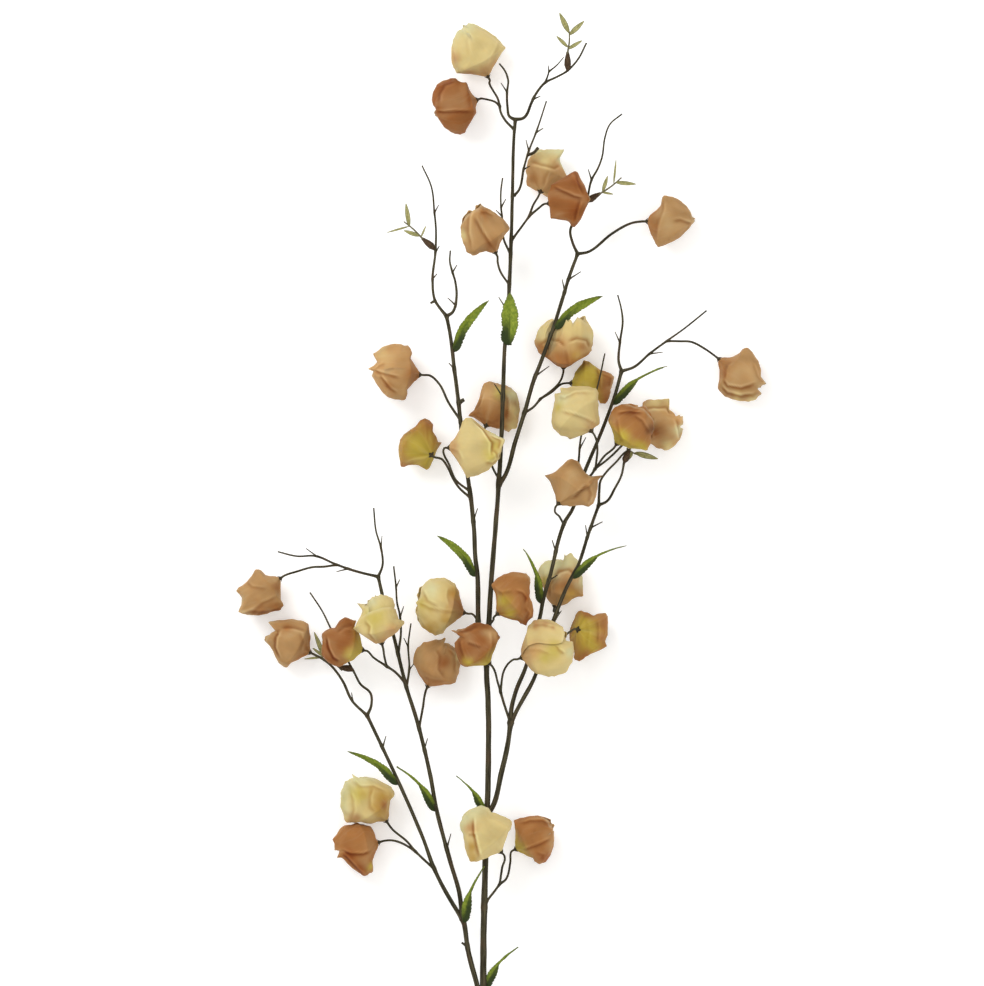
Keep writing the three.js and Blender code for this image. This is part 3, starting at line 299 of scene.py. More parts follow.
LOWER_LEFT_TWIGS = [
    ("shoot", "stem", 2.4, 2.2, 2, (
        (-17, -372), (-22, -348), (-26.5, -331.5), (-30.5, -314.5), (-33.5, -293.5), (-35, -288.5))),
    ("stub", "shoot", 1.1, 0.9, 1, ((-31, -313), (-36, -309.5))),
    ("outer_shoot", "shoot", 2, 1.5, -2, (
        (-35, -288.5), (-49, -266), (-61, -242), (-71, -214.5), (-95, -159.5), (-121, -104.5))),
    (27, "outer_shoot", 1.3, (
        (-121, -104.5), (-134.5, -91.5), (-143, -74), (-153.5, -60), (-162, -53.5))),
    ("spur", 27, 0.8, -4, ((-134, -92), (-135, -84))),
    ("right_twig", "outer_shoot", 1.3, 0.7, -36, (
        (-121, -104.5), (-117.5, -96.5), (-118, -84.5), (-127, -76.5), (-133, -65.5), (-141, -51),
        (-147, -41), (-154.5, -25.5), (-162, -10.5), (-173, 6))),
    ("bud_husk_5", "right_twig", -17, ((-133.5, -64), (-138, -62.5), (-141.5, -62), (-145.5, -61))),
    ("low_stalk", "outer_shoot", 1.2, 1.1, -1, ((-60.5, -243), (-70, -234.5), (-78, -227))),
    (31, "low_stalk", 1, ((-78, -227), (-85, -218.5), (-98.5, -207.5))),
    (32, "low_stalk", 1, ((-78, -227), (-88.5, -220.5), (-98.5, -217.5))),
    ("spur", "outer_shoot", 0.9, 0, ((-107, -133), (-104, -123))),
    ("inner_shoot", "shoot", 2.1, 1.5, 1, (
        (-35, -288.5), (-38.5, -262.5), (-46, -237), (-59, -187), (-64, -159), (-74, -116.5), (-79.5, -98),
        (-86.5, -76), (-97.5, -31), (-104, -9.5), (-111, 20.5))),
    ("far_twig", "inner_shoot", 1.3, 0.7, -8, (
        (-111, 20.5), (-133, 26), (-150, 32), (-167, 39), (-184.5, 39), (-201.5, 43))),
    ("spur", "far_twig", 0.8, -5, ((-165.5, 38.3), (-176, 46))),
    ("spur", "far_twig", 0.8, -5, ((-138, 27.7), (-148.5, 25))),
    (23, "far_twig", 1, ((-148, 31.2), (-160, 29.5), (-170.5, 29), (-184.5, 25))),
    ("upright_twig", "inner_shoot", 1.2, 0.7, 1, (
        (-111, 20.5), (-107, 31), (-108.5, 46.5), (-113, 62), (-115, 82.5))),
    ("spur", "upright_twig", 0.8, 2, ((-108.4, 46), (-107.5, 57.5))),
    ("right_twig_1", "inner_shoot", 1.1, 0.7, 0, (
        (-93, -48.5), (-90.5, -29), (-91.5, -14), (-94, -3), (-95, 12), (-97, 30))),
    ("spur", "right_twig_1", 0.8, 1, ((-91.3, -16), (-88, -6))),
    ("spur", "right_twig_1", 0.8, 1, ((-95, 11), (-91.5, 18))),
    ("right_twig_2", "inner_shoot", 1.1, 0.7, 0, ((-85.5, -79), (-83, -62), (-84, -41.5), (-81.5, -21.5))),
    ("spur", "right_twig_2", 0.8, 1, ((-83.9, -43), (-88, -34.5))),
    ("spur", "right_twig_2", 0.8, 1, ((-83.2, -63.5), (-79, -58))),
    ("inner_stalk", "inner_shoot", 1.2, 1.1, 3, ((-87, -74.5), (-96, -65), (-103.5, -60))),
    (25, "inner_stalk", 1, ((-103.5, -60), (-105.5, -50))),
    (26, "inner_stalk", 1, ((-103.5, -60), (-115.5, -52))),
    (24, "inner_shoot", 1.1, ((-74.2, -115.5), (-71, -98))),
    ("spur", "inner_shoot", 0.9, 2, ((-69.8, -136), (-66.5, -125))),
    ("spur", "inner_shoot", 0.9, 2, ((-49, -223.5), (-45.5, -211))),
]

# Lanterns: foot, heading and rise of the axis, length, half width, and how open the mouth is.
LANTERNS = [
    ((-12.5, 472, 24.4), 118, 3, 51, 25.5, 0.15),
    ((-22.5, 450.5, 23.9), 198, 15, 43, 26, 0.2),
    ((35, 367.5, 33), 68, -28, 41, 21.5, 0.4),
    ((42.5, 356, 66), 5, 25, 41, 25, 0.35),
    ((131.5, 341, 24.5), 1, 3, 44, 23.5, 0.12),
    ((-5.5, 312, 70), 117, 5, 45, 23, 0.25),
    ((-74, 202.5, 24.2), 176, 10, 45, 25.5, 0.35),
    ((-63, 130, 44), 139, -50, 44, 24, 0.3),
    ((-47, 136.5, 76), 5, 10, 49, 27.5, 0.5),
    ((-14, 156.5, 32.8), 67, -30, 46, 24.5, 0.35),
    ((56, 209, 24), 87, 18, 45, 27, 0.55),
    ((63, 195, 22.5), 0, -5, 38, 20, 0.3),
    ((80.5, 151.5, 87), 128, -22, 48, 25.5, 0.45),
    ((51, 86.5, 86), 50, -20, 45, 25, 0.3),
    ((103.5, 140, 70), 56, 12, 45, 22.5, 0.35),
    ((196.5, 216.5, 23.3), -38, 3, 48, 24.5, 0.2),
    ((125.5, 154.5, 20), 12, 18, 39, 23.5, 0.5),
    ((-3.5, -12.5, 77), 41, -8, 45, 23.5, 0.3),
    ((48, -6, 22), 76, 3, 47, 22, 0.4),
    ((68.5, -27, 42), -14, -55, 43, 23.5, 0.3),
    ((-11, -57, 76), 133, 5, 39, 23.5, 0.2),
    ((18, -52, 77), 19, 10, 50, 27, 0.5),
    ((-200, 18.5, 21), 215, 3, 41, 21.5, 0.3),
    ((-66.5, -78.5, 22.5), 67, 3, 46, 21.5, 0.25),
    ((-107.5, -39, 74), 105, 5, 45, 23.5, 0.3),
    ((-125, -45.5, 49), 168, 8, 43, 22.5, 0.35),
    ((-173, -48, 22.3), 154, 3, 43, 22.5, 0.3),
    ((-34, -12, 42), 167, 3, 44, 26, 0.35),
    ((-0.5, -226.5, 68), 132, 5, 49, 26, 0.35),
    ((13, -225.5, 21.9), 28, 5, 41, 22.5, 0.25),
    ((-104, -200, 25), 124, 3, 49, 24, 0.45),
    ((-111, -219.5, 24.5), 197, 3, 42, 23.5, 0.3),
]


class Strand:
    """A socket of a material's nodes. Sums and products on it add Math nodes."""

    def __init__(self, tree, socket=None):
        self.tree = tree
        self.socket = socket

    def add(self, kind, settings=None, values=None, output=0):
        """Makes any node: its settings first, then the values or links of its sockets."""
        node = self.tree.nodes.new(kind)
        for name, setting in (settings or {}).items():
            setattr(node, name, setting)
        for name, value in (values or {}).items():
            if isinstance(value, Strand):
                self.tree.links.new(value.socket, node.inputs[name])
            else:
                node.inputs[name].default_value = value
        return Strand(self.tree, node.outputs[output])

    def sum(self, operation, *others):
        return self.add("ShaderNodeMath", {"operation": operation}, dict(enumerate((self,) + others)))

    def __add__(self, other):
        return self.sum("ADD", other)

    def __sub__(self, other):
        return self.sum("SUBTRACT", other)

    def __mul__(self, other):
        return self.sum("MULTIPLY", other)

    def __rsub__(self, other):
        return self * -1 + other

    __rmul__ = __mul__

    def spread(self, low, high):
        """0 at `low` and 1 at `high`, eased between them."""
        return self.add("ShaderNodeMapRange", {"interpolation_type": "SMOOTHSTEP"},
                        {"Value": self, "From Min": low, "From Max": high})

    def tint(self, below, above, blend="MIX"):
        """Mixes two colours by this strength. A mix node's colours are its sockets 6 and 7."""
        return self.add("ShaderNodeMix", {"data_type": "RGBA", "blend_type": blend, "clamp_factor": True},
                        {0: self, 6: below, 7: above}, output=2)

    def attribute(self, name, output):
        return self.add("ShaderNodeAttribute", {"attribute_name": name}, output=output)

    def parts(self):
        """The x, y and z of a vector."""
        node = self.add("ShaderNodeSeparateXYZ", None, {"Vector": self}).socket.node
        return [Strand(self.tree, socket) for socket in node.outputs]

    def place(self):
        return self.add("ShaderNodeTexCoord", output="Object")

    def speckle(self, where, scale, detail=3.0, roughness=0.55):
        """Cloudy noise from 0 to 1 at a place or attribute."""
        return self.add("ShaderNodeTexNoise", None,
                        {"Vector": where, "Scale": scale, "Detail": detail, "Roughness": roughness})

    def relief(self, strength, distance):
        """Raises the surface where this is high."""
        return self.add("ShaderNodeBump", None, {"Strength": strength, "Distance": distance, "Height": self})


def start_material(name):
    """A new material: itself, a strand to add nodes with, and its shader's sockets."""
    material = bpy.data.materials.new(name)
    material.use_nodes = True
    shader = material.node_tree.nodes["Principled BSDF"]
    return material, Strand(material.node_tree), shader.inputs


def wire_surface(sockets, colour, roughness, relief, gloss):
    for strand, name in ((colour, "Base Color"), (roughness, "Roughness"), (relief, "Normal")):
        strand.tree.links.new(strand.socket, sockets[name])
    set_sockets(sockets, {"Specular IOR Level": gloss})


bark, made, bark_shader = start_material("bark")
grain = made.attribute("grain", "Vector")   # round the twig, and along it much less
papery = made.attribute("papery", "Fac")    # 1 on a bud's husk
ridges = made.speckle(grain, 1100, 4, 0.6)
fibres = made.speckle(grain, 2600, 2)
patches = made.speckle(made.place(), 60, 3)
colour = ridges.spread(0.36, 0.68).tint(DARK_BARK, WORN_BARK)
colour = (patches.spread(0.5, 0.7) * 0.5).tint(colour, WARM_PATCH)
colour = (fibres.spread(0.62, 0.8) * 0.35).tint(colour, PALE_FIBRE)
colour = papery.tint(colour, fibres.spread(0.35, 0.75).tint(DARK_BUD, BROWN_BUD))
relief = (ridges + 0.4 * fibres).relief(0.55, 0.0004)
wire_surface(bark_shader, colour, 0.85 - 0.22 * ridges, relief, 0.15)


def arch_height(y):
    return CREST_HEIGHT - (CREST_HEIGHT - STEM_RADIUS) * ((y - CREST_Y) / (CREST_Y - CUT_Y)) ** 2


def height_on(line, x, y):
    """The height of a line where it passes closest, in plan, to a point."""
    nearest, height = math.inf, 0
    for start, end in zip(line, line[1:]):
        run = end - start
        share = ((x - start.x) * run.x + (y - start.y) * run.y) / (run.x ** 2 + run.y ** 2)
        spot = start + run * min(max(share, 0), 1)
        away = math.hypot(x - spot.x, y - spot.y)
        if away < nearest:
            nearest, height = away, spot.z
    return height


def twig_line(parent_line, route, tip_lift):
    """A twig's points in space: its lift above the arch changes evenly from root to tip."""
    root_lift = height_on(parent_line, *route[0]) - arch_height(route[0][1])
    lengths = [0]
    for (x, y), (x2, y2) in zip(route, route[1:]):
        lengths.append(lengths[-1] + math.hypot(x2 - x, y2 - y))
    return [Vector((x, y, arch_height(y) + root_lift + (tip_lift - root_lift) * along / lengths[-1]))
            for (x, y), along in zip(route, lengths)]


def lantern_axis(lantern):
    heading, rise = math.radians(lantern[1]), math.radians(lantern[2])
    return Vector((math.cos(rise) * math.cos(heading), math.cos(rise) * math.sin(heading), math.sin(rise)))


def stalk_line(parent_line, route, lantern):
    """A stalk's points: it runs on in line with its lantern and ends under its foot."""
    axis = lantern_axis(lantern)
    foot = Vector(lantern[0]) - SEAT_GAP * axis
    neck = foot - NECK_LENGTH * axis
    line = twig_line(parent_line, route + ((neck.x, neck.y),), neck.z - arch_height(neck.y))
    return line + [foot - COLLAR_LENGTH * axis, foot]


def smooth_line(points, step):
    """Points about `step` apart on a smooth curve through the given ones, each with its place in the list."""
    headings = []
    for i, point in enumerate(points):
        before = (point - points[i - 1]).normalized() if i else Vector()
        after = (points[i + 1] - point).normalized() if i < len(points) - 1 else Vector()
        headings.append((before + after).normalized())
    line = []
    for i in range(len(points) - 1):
        start, end = points[i], points[i + 1]
        reach = (end - start).length / 3
        count = max(2, round(3 * reach / step)) + 1
        leave, arrive = start + headings[i] * reach, end - headings[i + 1] * reach
        curve = geometry.interpolate_bezier(start, leave, arrive, end, count)
        line += [(spot, i + k / (count - 1)) for k, spot in enumerate(curve[:-1])]
    return line + [(points[-1], len(points) - 1)]


def ring_frames(line):
    """A place and heading for a ring at each point of a line, with no twist from one to the next."""
    frames = []
    side = Vector((0, 0, 1)).cross(line[1] - line[0])
    for i, spot in enumerate(line):
        heading = (line[min(i + 1, len(line) - 1)] - line[max(i - 1, 0)]).normalized()
        side = (side - heading * side.dot(heading)).normalized()
        up = heading.cross(side)
        frames.append(Matrix((
            (side.x, up.x, heading.x, spot.x),
            (side.y, up.y, heading.y, spot.y),
            (side.z, up.z, heading.z, spot.z),
            (0, 0, 0, 1))))
    return frames


def grow_tube(wood, line, radii, sides, papery_share=0.0):
    """Grows a closed tube, ring by ring, along a smooth line in mm."""
    grain_layer = wood.verts.layers.float_vector["grain"]
    papery_layer = wood.verts.layers.float["papery"]
    spots = [spot for spot, _ in line]
    verts = bmesh.ops.create_circle(wood, segments=sides, radius=1, cap_ends=False)["verts"]
    edges = first = list({edge for vert in verts for edge in vert.link_edges})
    placed = Matrix.Identity(4)
    knobs = []
    along = 0
    for i, ring in enumerate(ring_frames([spot * MM for spot in spots])):
        if i:
            along += (spots[i] - spots[i - 1]).length * MM
            grown = bmesh.ops.extrude_edge_only(wood, edges=edges)["geom"]
            verts = [item for item in grown if isinstance(item, bmesh.types.BMVert)]
            edges = [item for item in grown if isinstance(item, bmesh.types.BMEdge)]
        wanted = ring @ Matrix.Scale(radii[i] * MM, 4)
        wanted[3][3] = 1
        bmesh.ops.transform(wood, matrix=wanted @ placed.inverted(), verts=verts)
        placed = wanted
        middle = ring.translation
        for vert in verts:
            out = vert.co - middle
            turn = ring.to_3x3().inverted() @ out
            # grain is measured on the bark, so that its ridges run along the twig
            vert[grain_layer] = (turn.x + spots[0].x * MM, turn.y + spots[0].y * MM, along * GRAIN_STRETCH)
            vert[papery_layer] = papery_share
            place = Vector((turn.x * KNOBS_ROUND, turn.y * KNOBS_ROUND, along * KNOBS_ALONG))
            knob = noise.noise(place + spots[0])
            knobs.append((vert, out * KNOBS * knob))
    for vert, out in knobs:
        vert.co += out
    bmesh.ops.contextual_create(wood, geom=first)
    bmesh.ops.contextual_create(wood, geom=edges)


def star_calyx(wood, lantern):
    """The tiny pointed dark calyx under a lantern's foot."""
    papery_layer = wood.verts.layers.float["papery"]
    grain_layer = wood.verts.layers.float_vector["grain"]
    axis = lantern_axis(lantern)
    turn = axis.to_track_quat("Z", "Y").to_matrix().to_4x4()
    seat = Matrix.Translation((Vector(lantern[0]) - CALYX_SINK * axis) * MM) @ turn
    verts = bmesh.ops.create_cone(wood, cap_ends=True, segments=4 * CALYX_POINTS, radius1=CALYX_RADII[0] * MM,
                                  radius2=CALYX_RADII[1] * MM, depth=CALYX_DEPTH * MM)["verts"]
    for vert in verts:
        if vert.co.z > 0:
            point = 0.5 + 0.5 * math.cos(CALYX_POINTS * math.atan2(vert.co.y, vert.co.x))
            vert.co *= CALYX_SPREAD[0] + CALYX_SPREAD[1] * point
            vert.co.z += 0.3 * MM * point
    bmesh.ops.transform(wood, matrix=seat, verts=verts)
    for vert in verts:
        vert[papery_layer] = CALYX_PAPERY
        vert[grain_layer] = vert.co


def stem_radii(line, joins):
    """Radii along the main stem: an even taper, and a swelling wherever a twig or spray leaves."""
    swelling, reach = JOIN_SWELL
    lengths = [0]
    for (spot, _), (after, _) in zip(line, line[1:]):
        lengths.append(lengths[-1] + (after - spot).length)
    radii = []
    for (spot, _), along in zip(line, lengths):
        radius = STEM_RADIUS + (TOP_RADIUS - STEM_RADIUS) * along / lengths[-1]
        for join in joins:
            radius *= 1 + swelling * math.exp(-((spot.xy - join).length / reach) ** 2)
        radii.append(radius)
    return radii


def twig_radii(line, root, tip, forks=()):
    """Radii along a twig: a flare at its root, a taper, and a swelling wherever another twig leaves."""
    swelling, reach = FORK_SWELL
    flare, run = ROOT_FLARE
    (start, _), (_, count) = line[0], line[-1]
    radii = []
    for spot, place in line:
        radius = root + (tip - root) * place / count
        radius *= 1 + flare * math.exp(-(spot - start).length / run)
        for fork in forks:
            radius *= 1 + swelling * math.exp(-((spot.xy - fork).length / reach) ** 2)
        radii.append(radius)
    return radii


def stalk_radii(line, root):
    """Radii along a stalk: a twig's, widening to the collar over the last two stretches."""
    neck = line[-1][1] - 2
    return [radius + (COLLAR_RADIUS - radius) * min(max((place - neck) / 2, 0), 1) ** 2
            for radius, (_, place) in zip(twig_radii(line, root, STALK_RADIUS), line)]


def bud_radii(line):
    radii = []
    for _, place in line:
        radius, after = BUD_HUSK_RADII[int(place)], BUD_HUSK_RADII[min(int(place) + 1, 3)]
        radii.append(radius + (after - radius) * (place - int(place)))
    return radii


def kind_of(twig, root):
    if isinstance(twig, int):
        return "stalk"
    for kind in ("bud", "spur"):
        if kind in twig:
            return kind
    return "shoot" if root > THICK else "twig"


def wood_piece(name, node, twigs):
    """One spray of wood, which stands for its CAD node."""
    wood = bmesh.new()
    wood.verts.layers.float_vector.new("grain")
    wood.verts.layers.float.new("papery")
    lines = {"stem": STEM_POINTS}
    forks = {}
    for _, parent, *_, route in twigs:
        forks.setdefault(parent, []).append(Vector(route[0]))
    if node == "main_stem":
        step, sides = TUBES["stem"]
        line = smooth_line(STEM_POINTS, step)
        grow_tube(wood, line, stem_radii(line, forks["stem"] + SPRAY_ROOTS), sides)
    for twig, parent, *sizes, route in twigs:
        kind = kind_of(twig, sizes[0])
        if kind == "stalk":
            points = stalk_line(lines[parent], route, LANTERNS[twig - 1])
        else:
            points = twig_line(lines[parent], route, sizes[-1])
        step, sides = TUBES[kind]
        line = smooth_line(points, step)
        if kind == "stalk":
            radii = stalk_radii(line, sizes[0])
        elif kind == "bud":
            radii = bud_radii(line)
        else:
            tip = SPUR_TIP if kind == "spur" else sizes[1]
            radii = twig_radii(line, sizes[0], tip, forks.get(twig, ()))
        grow_tube(wood, line, radii, sides, float(kind == "bud"))
        if kind == "stalk":
            star_calyx(wood, LANTERNS[twig - 1])
        lines[twig] = points
    bmesh.ops.recalc_face_normals(wood, faces=wood.faces)
    piece = mesh_object(name, wood, bark)
    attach(piece, "root")
    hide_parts(node)


STEM_POINTS = [Vector((x, y, arch_height(y))) for x, y in MAIN_STEM_ROUTE]
SPRAY_ROOTS = [Vector(twigs[0][-1][0]) for twigs in
               (UPPER_RIGHT_TWIGS, UPPER_LEFT_TWIGS, LOWER_RIGHT_TWIGS, LOWER_LEFT_TWIGS)]
wood_piece("stem_bark", "main_stem", MAIN_TWIGS)
wood_piece("upper_right_bark", "spray_upper_right", UPPER_RIGHT_TWIGS)
wood_piece("upper_left_bark", "spray_upper_left", UPPER_LEFT_TWIGS)
wood_piece("lower_right_bark", "spray_lower_right", LOWER_RIGHT_TWIGS)
wood_piece("lower_left_bark", "spray_lower_left", LOWER_LEFT_TWIGS)


# ---- Lanterns ----
# Each is a hollow papery husk of broad soft petals, wrapped round one another with one edge over
# the next and one under. The petals spring from the stalk's collar and end in points round an open
# mouth. The cloth is thin, matt and dyed, and each husk is crumpled and bent to an outline of its own.
# Painted shade, highlights and a glow at the petals' ends are dyed into the cloth as well.
PETALS = 4
TOP_GRID = (60, 56)           # how finely the top petal and the lower ones are divided
LOWER_GRID = (28, 30)
LOWER_SPAN = 62               # half the turn that a lower petal spans, in degrees
FOOT_RADIUS = 0.9
SHOULDER = 0.27               # where a husk is widest, as a share of its length
WIDENING = 0.85
CLOSING = 2.2
PETAL_STRETCH = 0.07
PETAL_POINT = (0.15, 1.7)     # how much shorter a petal is at its sides, and how sharp its point is
NARROWING = 0.14              # how much narrower it is at its foot, and again at its tip
FOOT_END = 0.4                # where along a petal it has reached its full width
TIP_START = 0.45              # and where it narrows again
WALL = 0.4
TOP_LIFT = 1.7                # how far the top petal lies over the others
OVERLAP = 0.8                 # how far a petal's free edge lies over its neighbour, and its other edge under
FREE_EDGE = 0.4               # how far the free edge lifts off
LOOSE = 9                     # the radius from which the cloth is loose enough to crumple fully
# The depth and the closeness of the folds between a crumpled husk's flatter faces, of the crumples
# on the faces, and of the finest crinkles.
CREASE = (2.0, 1.1)
CRUMPLE = (0.9, 1.9)
CRINKLE = (0.35, 5.5)
TUCK = 1.8                    # how far the lower petals stay inside the upper ones' edge
SLOTS = 72                    # a husk's reach is measured in this many directions
SLOT_TURN = 360 / SLOTS
FOLD_RUN = 6                  # how far from a fold the lifted cloth has settled again
FOLD_ENDS = 0.22              # the share of a fold's length over which it rises, and fades again
FOLD_STEP = 0.7               # half the width of the step at a fold
FOLD_GROOVE = (1.6, 1.4, 0.4)     # how far beside the step, how wide, and how deep
FOLD_DARK_AT = 0.8            # how far below the step the painted shade is darkest
FOLD_HIGHLIGHT_AT = 1.2            # and how far above it the painted highlight is brightest
FOLD_LIMIT = 1.4
FOLD_SHADE = (0.36, 0.5, 0.6)     # how much of its red, green and blue the dye loses to painted shade there
FOLD_HIGHLIGHT = (0.22, 0.32, 0.45)     # and gains as painted highlight
WASH = (0.24, 1.7)            # how much the dye varies from place to place, and how closely
STAIN_EDGE = (0.5, 2.6)       # how ragged a stain's edge is, and how closely
BODY_BLEND = (0.14, 0.2)      # how far before and after its place the dye changes to the body's
TIP_BLEND = 0.16              # and how far either side to the tip's
UNDER_SHADE = 0.14            # how much painted shade darkens a lower petal where another lies over it
TIP_GLOW_SHARE = 0.3               # how much painted glow, pale as light through the thin cloth, shows at a petal's end
TABLE_TOUCH = 2.5             # below this a husk is pressed flat by the table it rests on
TABLE_LOW = 0.5
LEANING = {5: -0.15}          # husks that lean to one side of their axis
SHORT_TOP_PETALS = {15: 0.86, 25: 0.74}     # as a share of the husk's length
STEM_DENT = (11, 50.5, ((33, 208), (37, 218), (47, 245.5), (54, 268)))     # a husk that a stem lies on

# The top petal of a husk: half the turn it spans, in degrees, and where its free edge runs, as
# shares of the length and turns from straight up. On most husks the edge runs out of sight.
MOST_TOP_PETALS = (104, (0, 100), (1, 100))
TOP_PETALS = {
    11: (78, (0, 75), (1, 70)), 14: (92, (0.28, 15), (0.76, 27)), 15: (80, (0.3, 70), (0.9, 80)),
    17: (80, (0.4, 70), (0.8, 60)), 22: (88, (0.51, -18), (0.91, -4)), 25: (82, (0, 80), (1, 80)),
}

YELLOW_GREEN = (0.44, 0.32, 0.048)
STRAW = (0.52, 0.40, 0.10)
BROWN = (0.345, 0.148, 0.046)
UMBER = (0.27, 0.10, 0.028)
DARK_BROWN = (0.25, 0.09, 0.026)
RUST = (0.26, 0.075, 0.016)
# painted shade for a husk's deep mouth or crease
PAINTED_SHADE_BROWN = (0.15, 0.06, 0.022)
TAN = (0.41, 0.23, 0.093)
PEACH = (0.49, 0.275, 0.112)
OCHRE = (0.44, 0.26, 0.06)
CREAM = (0.61, 0.46, 0.20)
PALE = (0.60, 0.54, 0.29)
WASH_DYE = (0.62, 0.50, 0.27)
# painted glow at the petals' ends, pale as light shining through thin cloth
TIP_GLOW_DYE = (0.62, 0.55, 0.36)
CLOUD_SHADE = (0.8, 0.78, 0.7, 1)
PALE_STREAK = (0.7, 0.6, 0.4, 1)
WARM_STREAK = (0.72, 0.55, 0.38, 1)

# Dyes at the foot, body and tips of each husk, and the shares of its length where they change.
HUSK_DYES = [
    (PEACH, CREAM, PALE, 0.1, 0.9), (BROWN, UMBER, UMBER, 0.12, 0.75),
    (PEACH, PEACH, PALE, 0.35, 0.66), (DARK_BROWN, UMBER, UMBER, 0.1, 0.8),
    (BROWN, TAN, TAN, 0.12, 0.8), (TAN, TAN, PEACH, 0.2, 0.85),
    (BROWN, TAN, PEACH, 0.2, 0.6), (BROWN, BROWN, BROWN, 0.2, 0.8),
    (PEACH, CREAM, CREAM, 0.15, 0.85), (BROWN, TAN, TAN, 0.25, 0.6),
    (BROWN, BROWN, CREAM, 0.2, 0.5), (YELLOW_GREEN, YELLOW_GREEN, BROWN, 0.2, 0.68),
    (CREAM, CREAM, CREAM, 0.2, 0.85), (TAN, TAN, TAN, 0.2, 0.8),
    (YELLOW_GREEN, BROWN, BROWN, 0.25, 0.8), (BROWN, TAN, TAN, 0.14, 0.8),
    (BROWN, TAN, PEACH, 0.2, 0.8), (BROWN, BROWN, BROWN, 0.35, 0.8),
    (TAN, TAN, PALE, 0.2, 0.5), (BROWN, BROWN, BROWN, 0.2, 0.8),
    (YELLOW_GREEN, UMBER, UMBER, 0.15, 0.8), (PEACH, CREAM, CREAM, 0.1, 0.85),
    (TAN, TAN, TAN, 0.12, 0.8), (BROWN, TAN, TAN, 0.2, 0.8),
    (PEACH, CREAM, CREAM, 0.15, 0.85), (YELLOW_GREEN, UMBER, UMBER, 0.2, 0.7),
    (BROWN, TAN, TAN, 0.15, 0.8), (BROWN, CREAM, CREAM, 0.12, 0.8),
    (CREAM, CREAM, PALE, 0.1, 0.8), (YELLOW_GREEN, BROWN, BROWN, 0.12, 0.8),
    (TAN, CREAM, PALE, 0.1, 0.8), (BROWN, BROWN, BROWN, 0.15, 0.8),
]
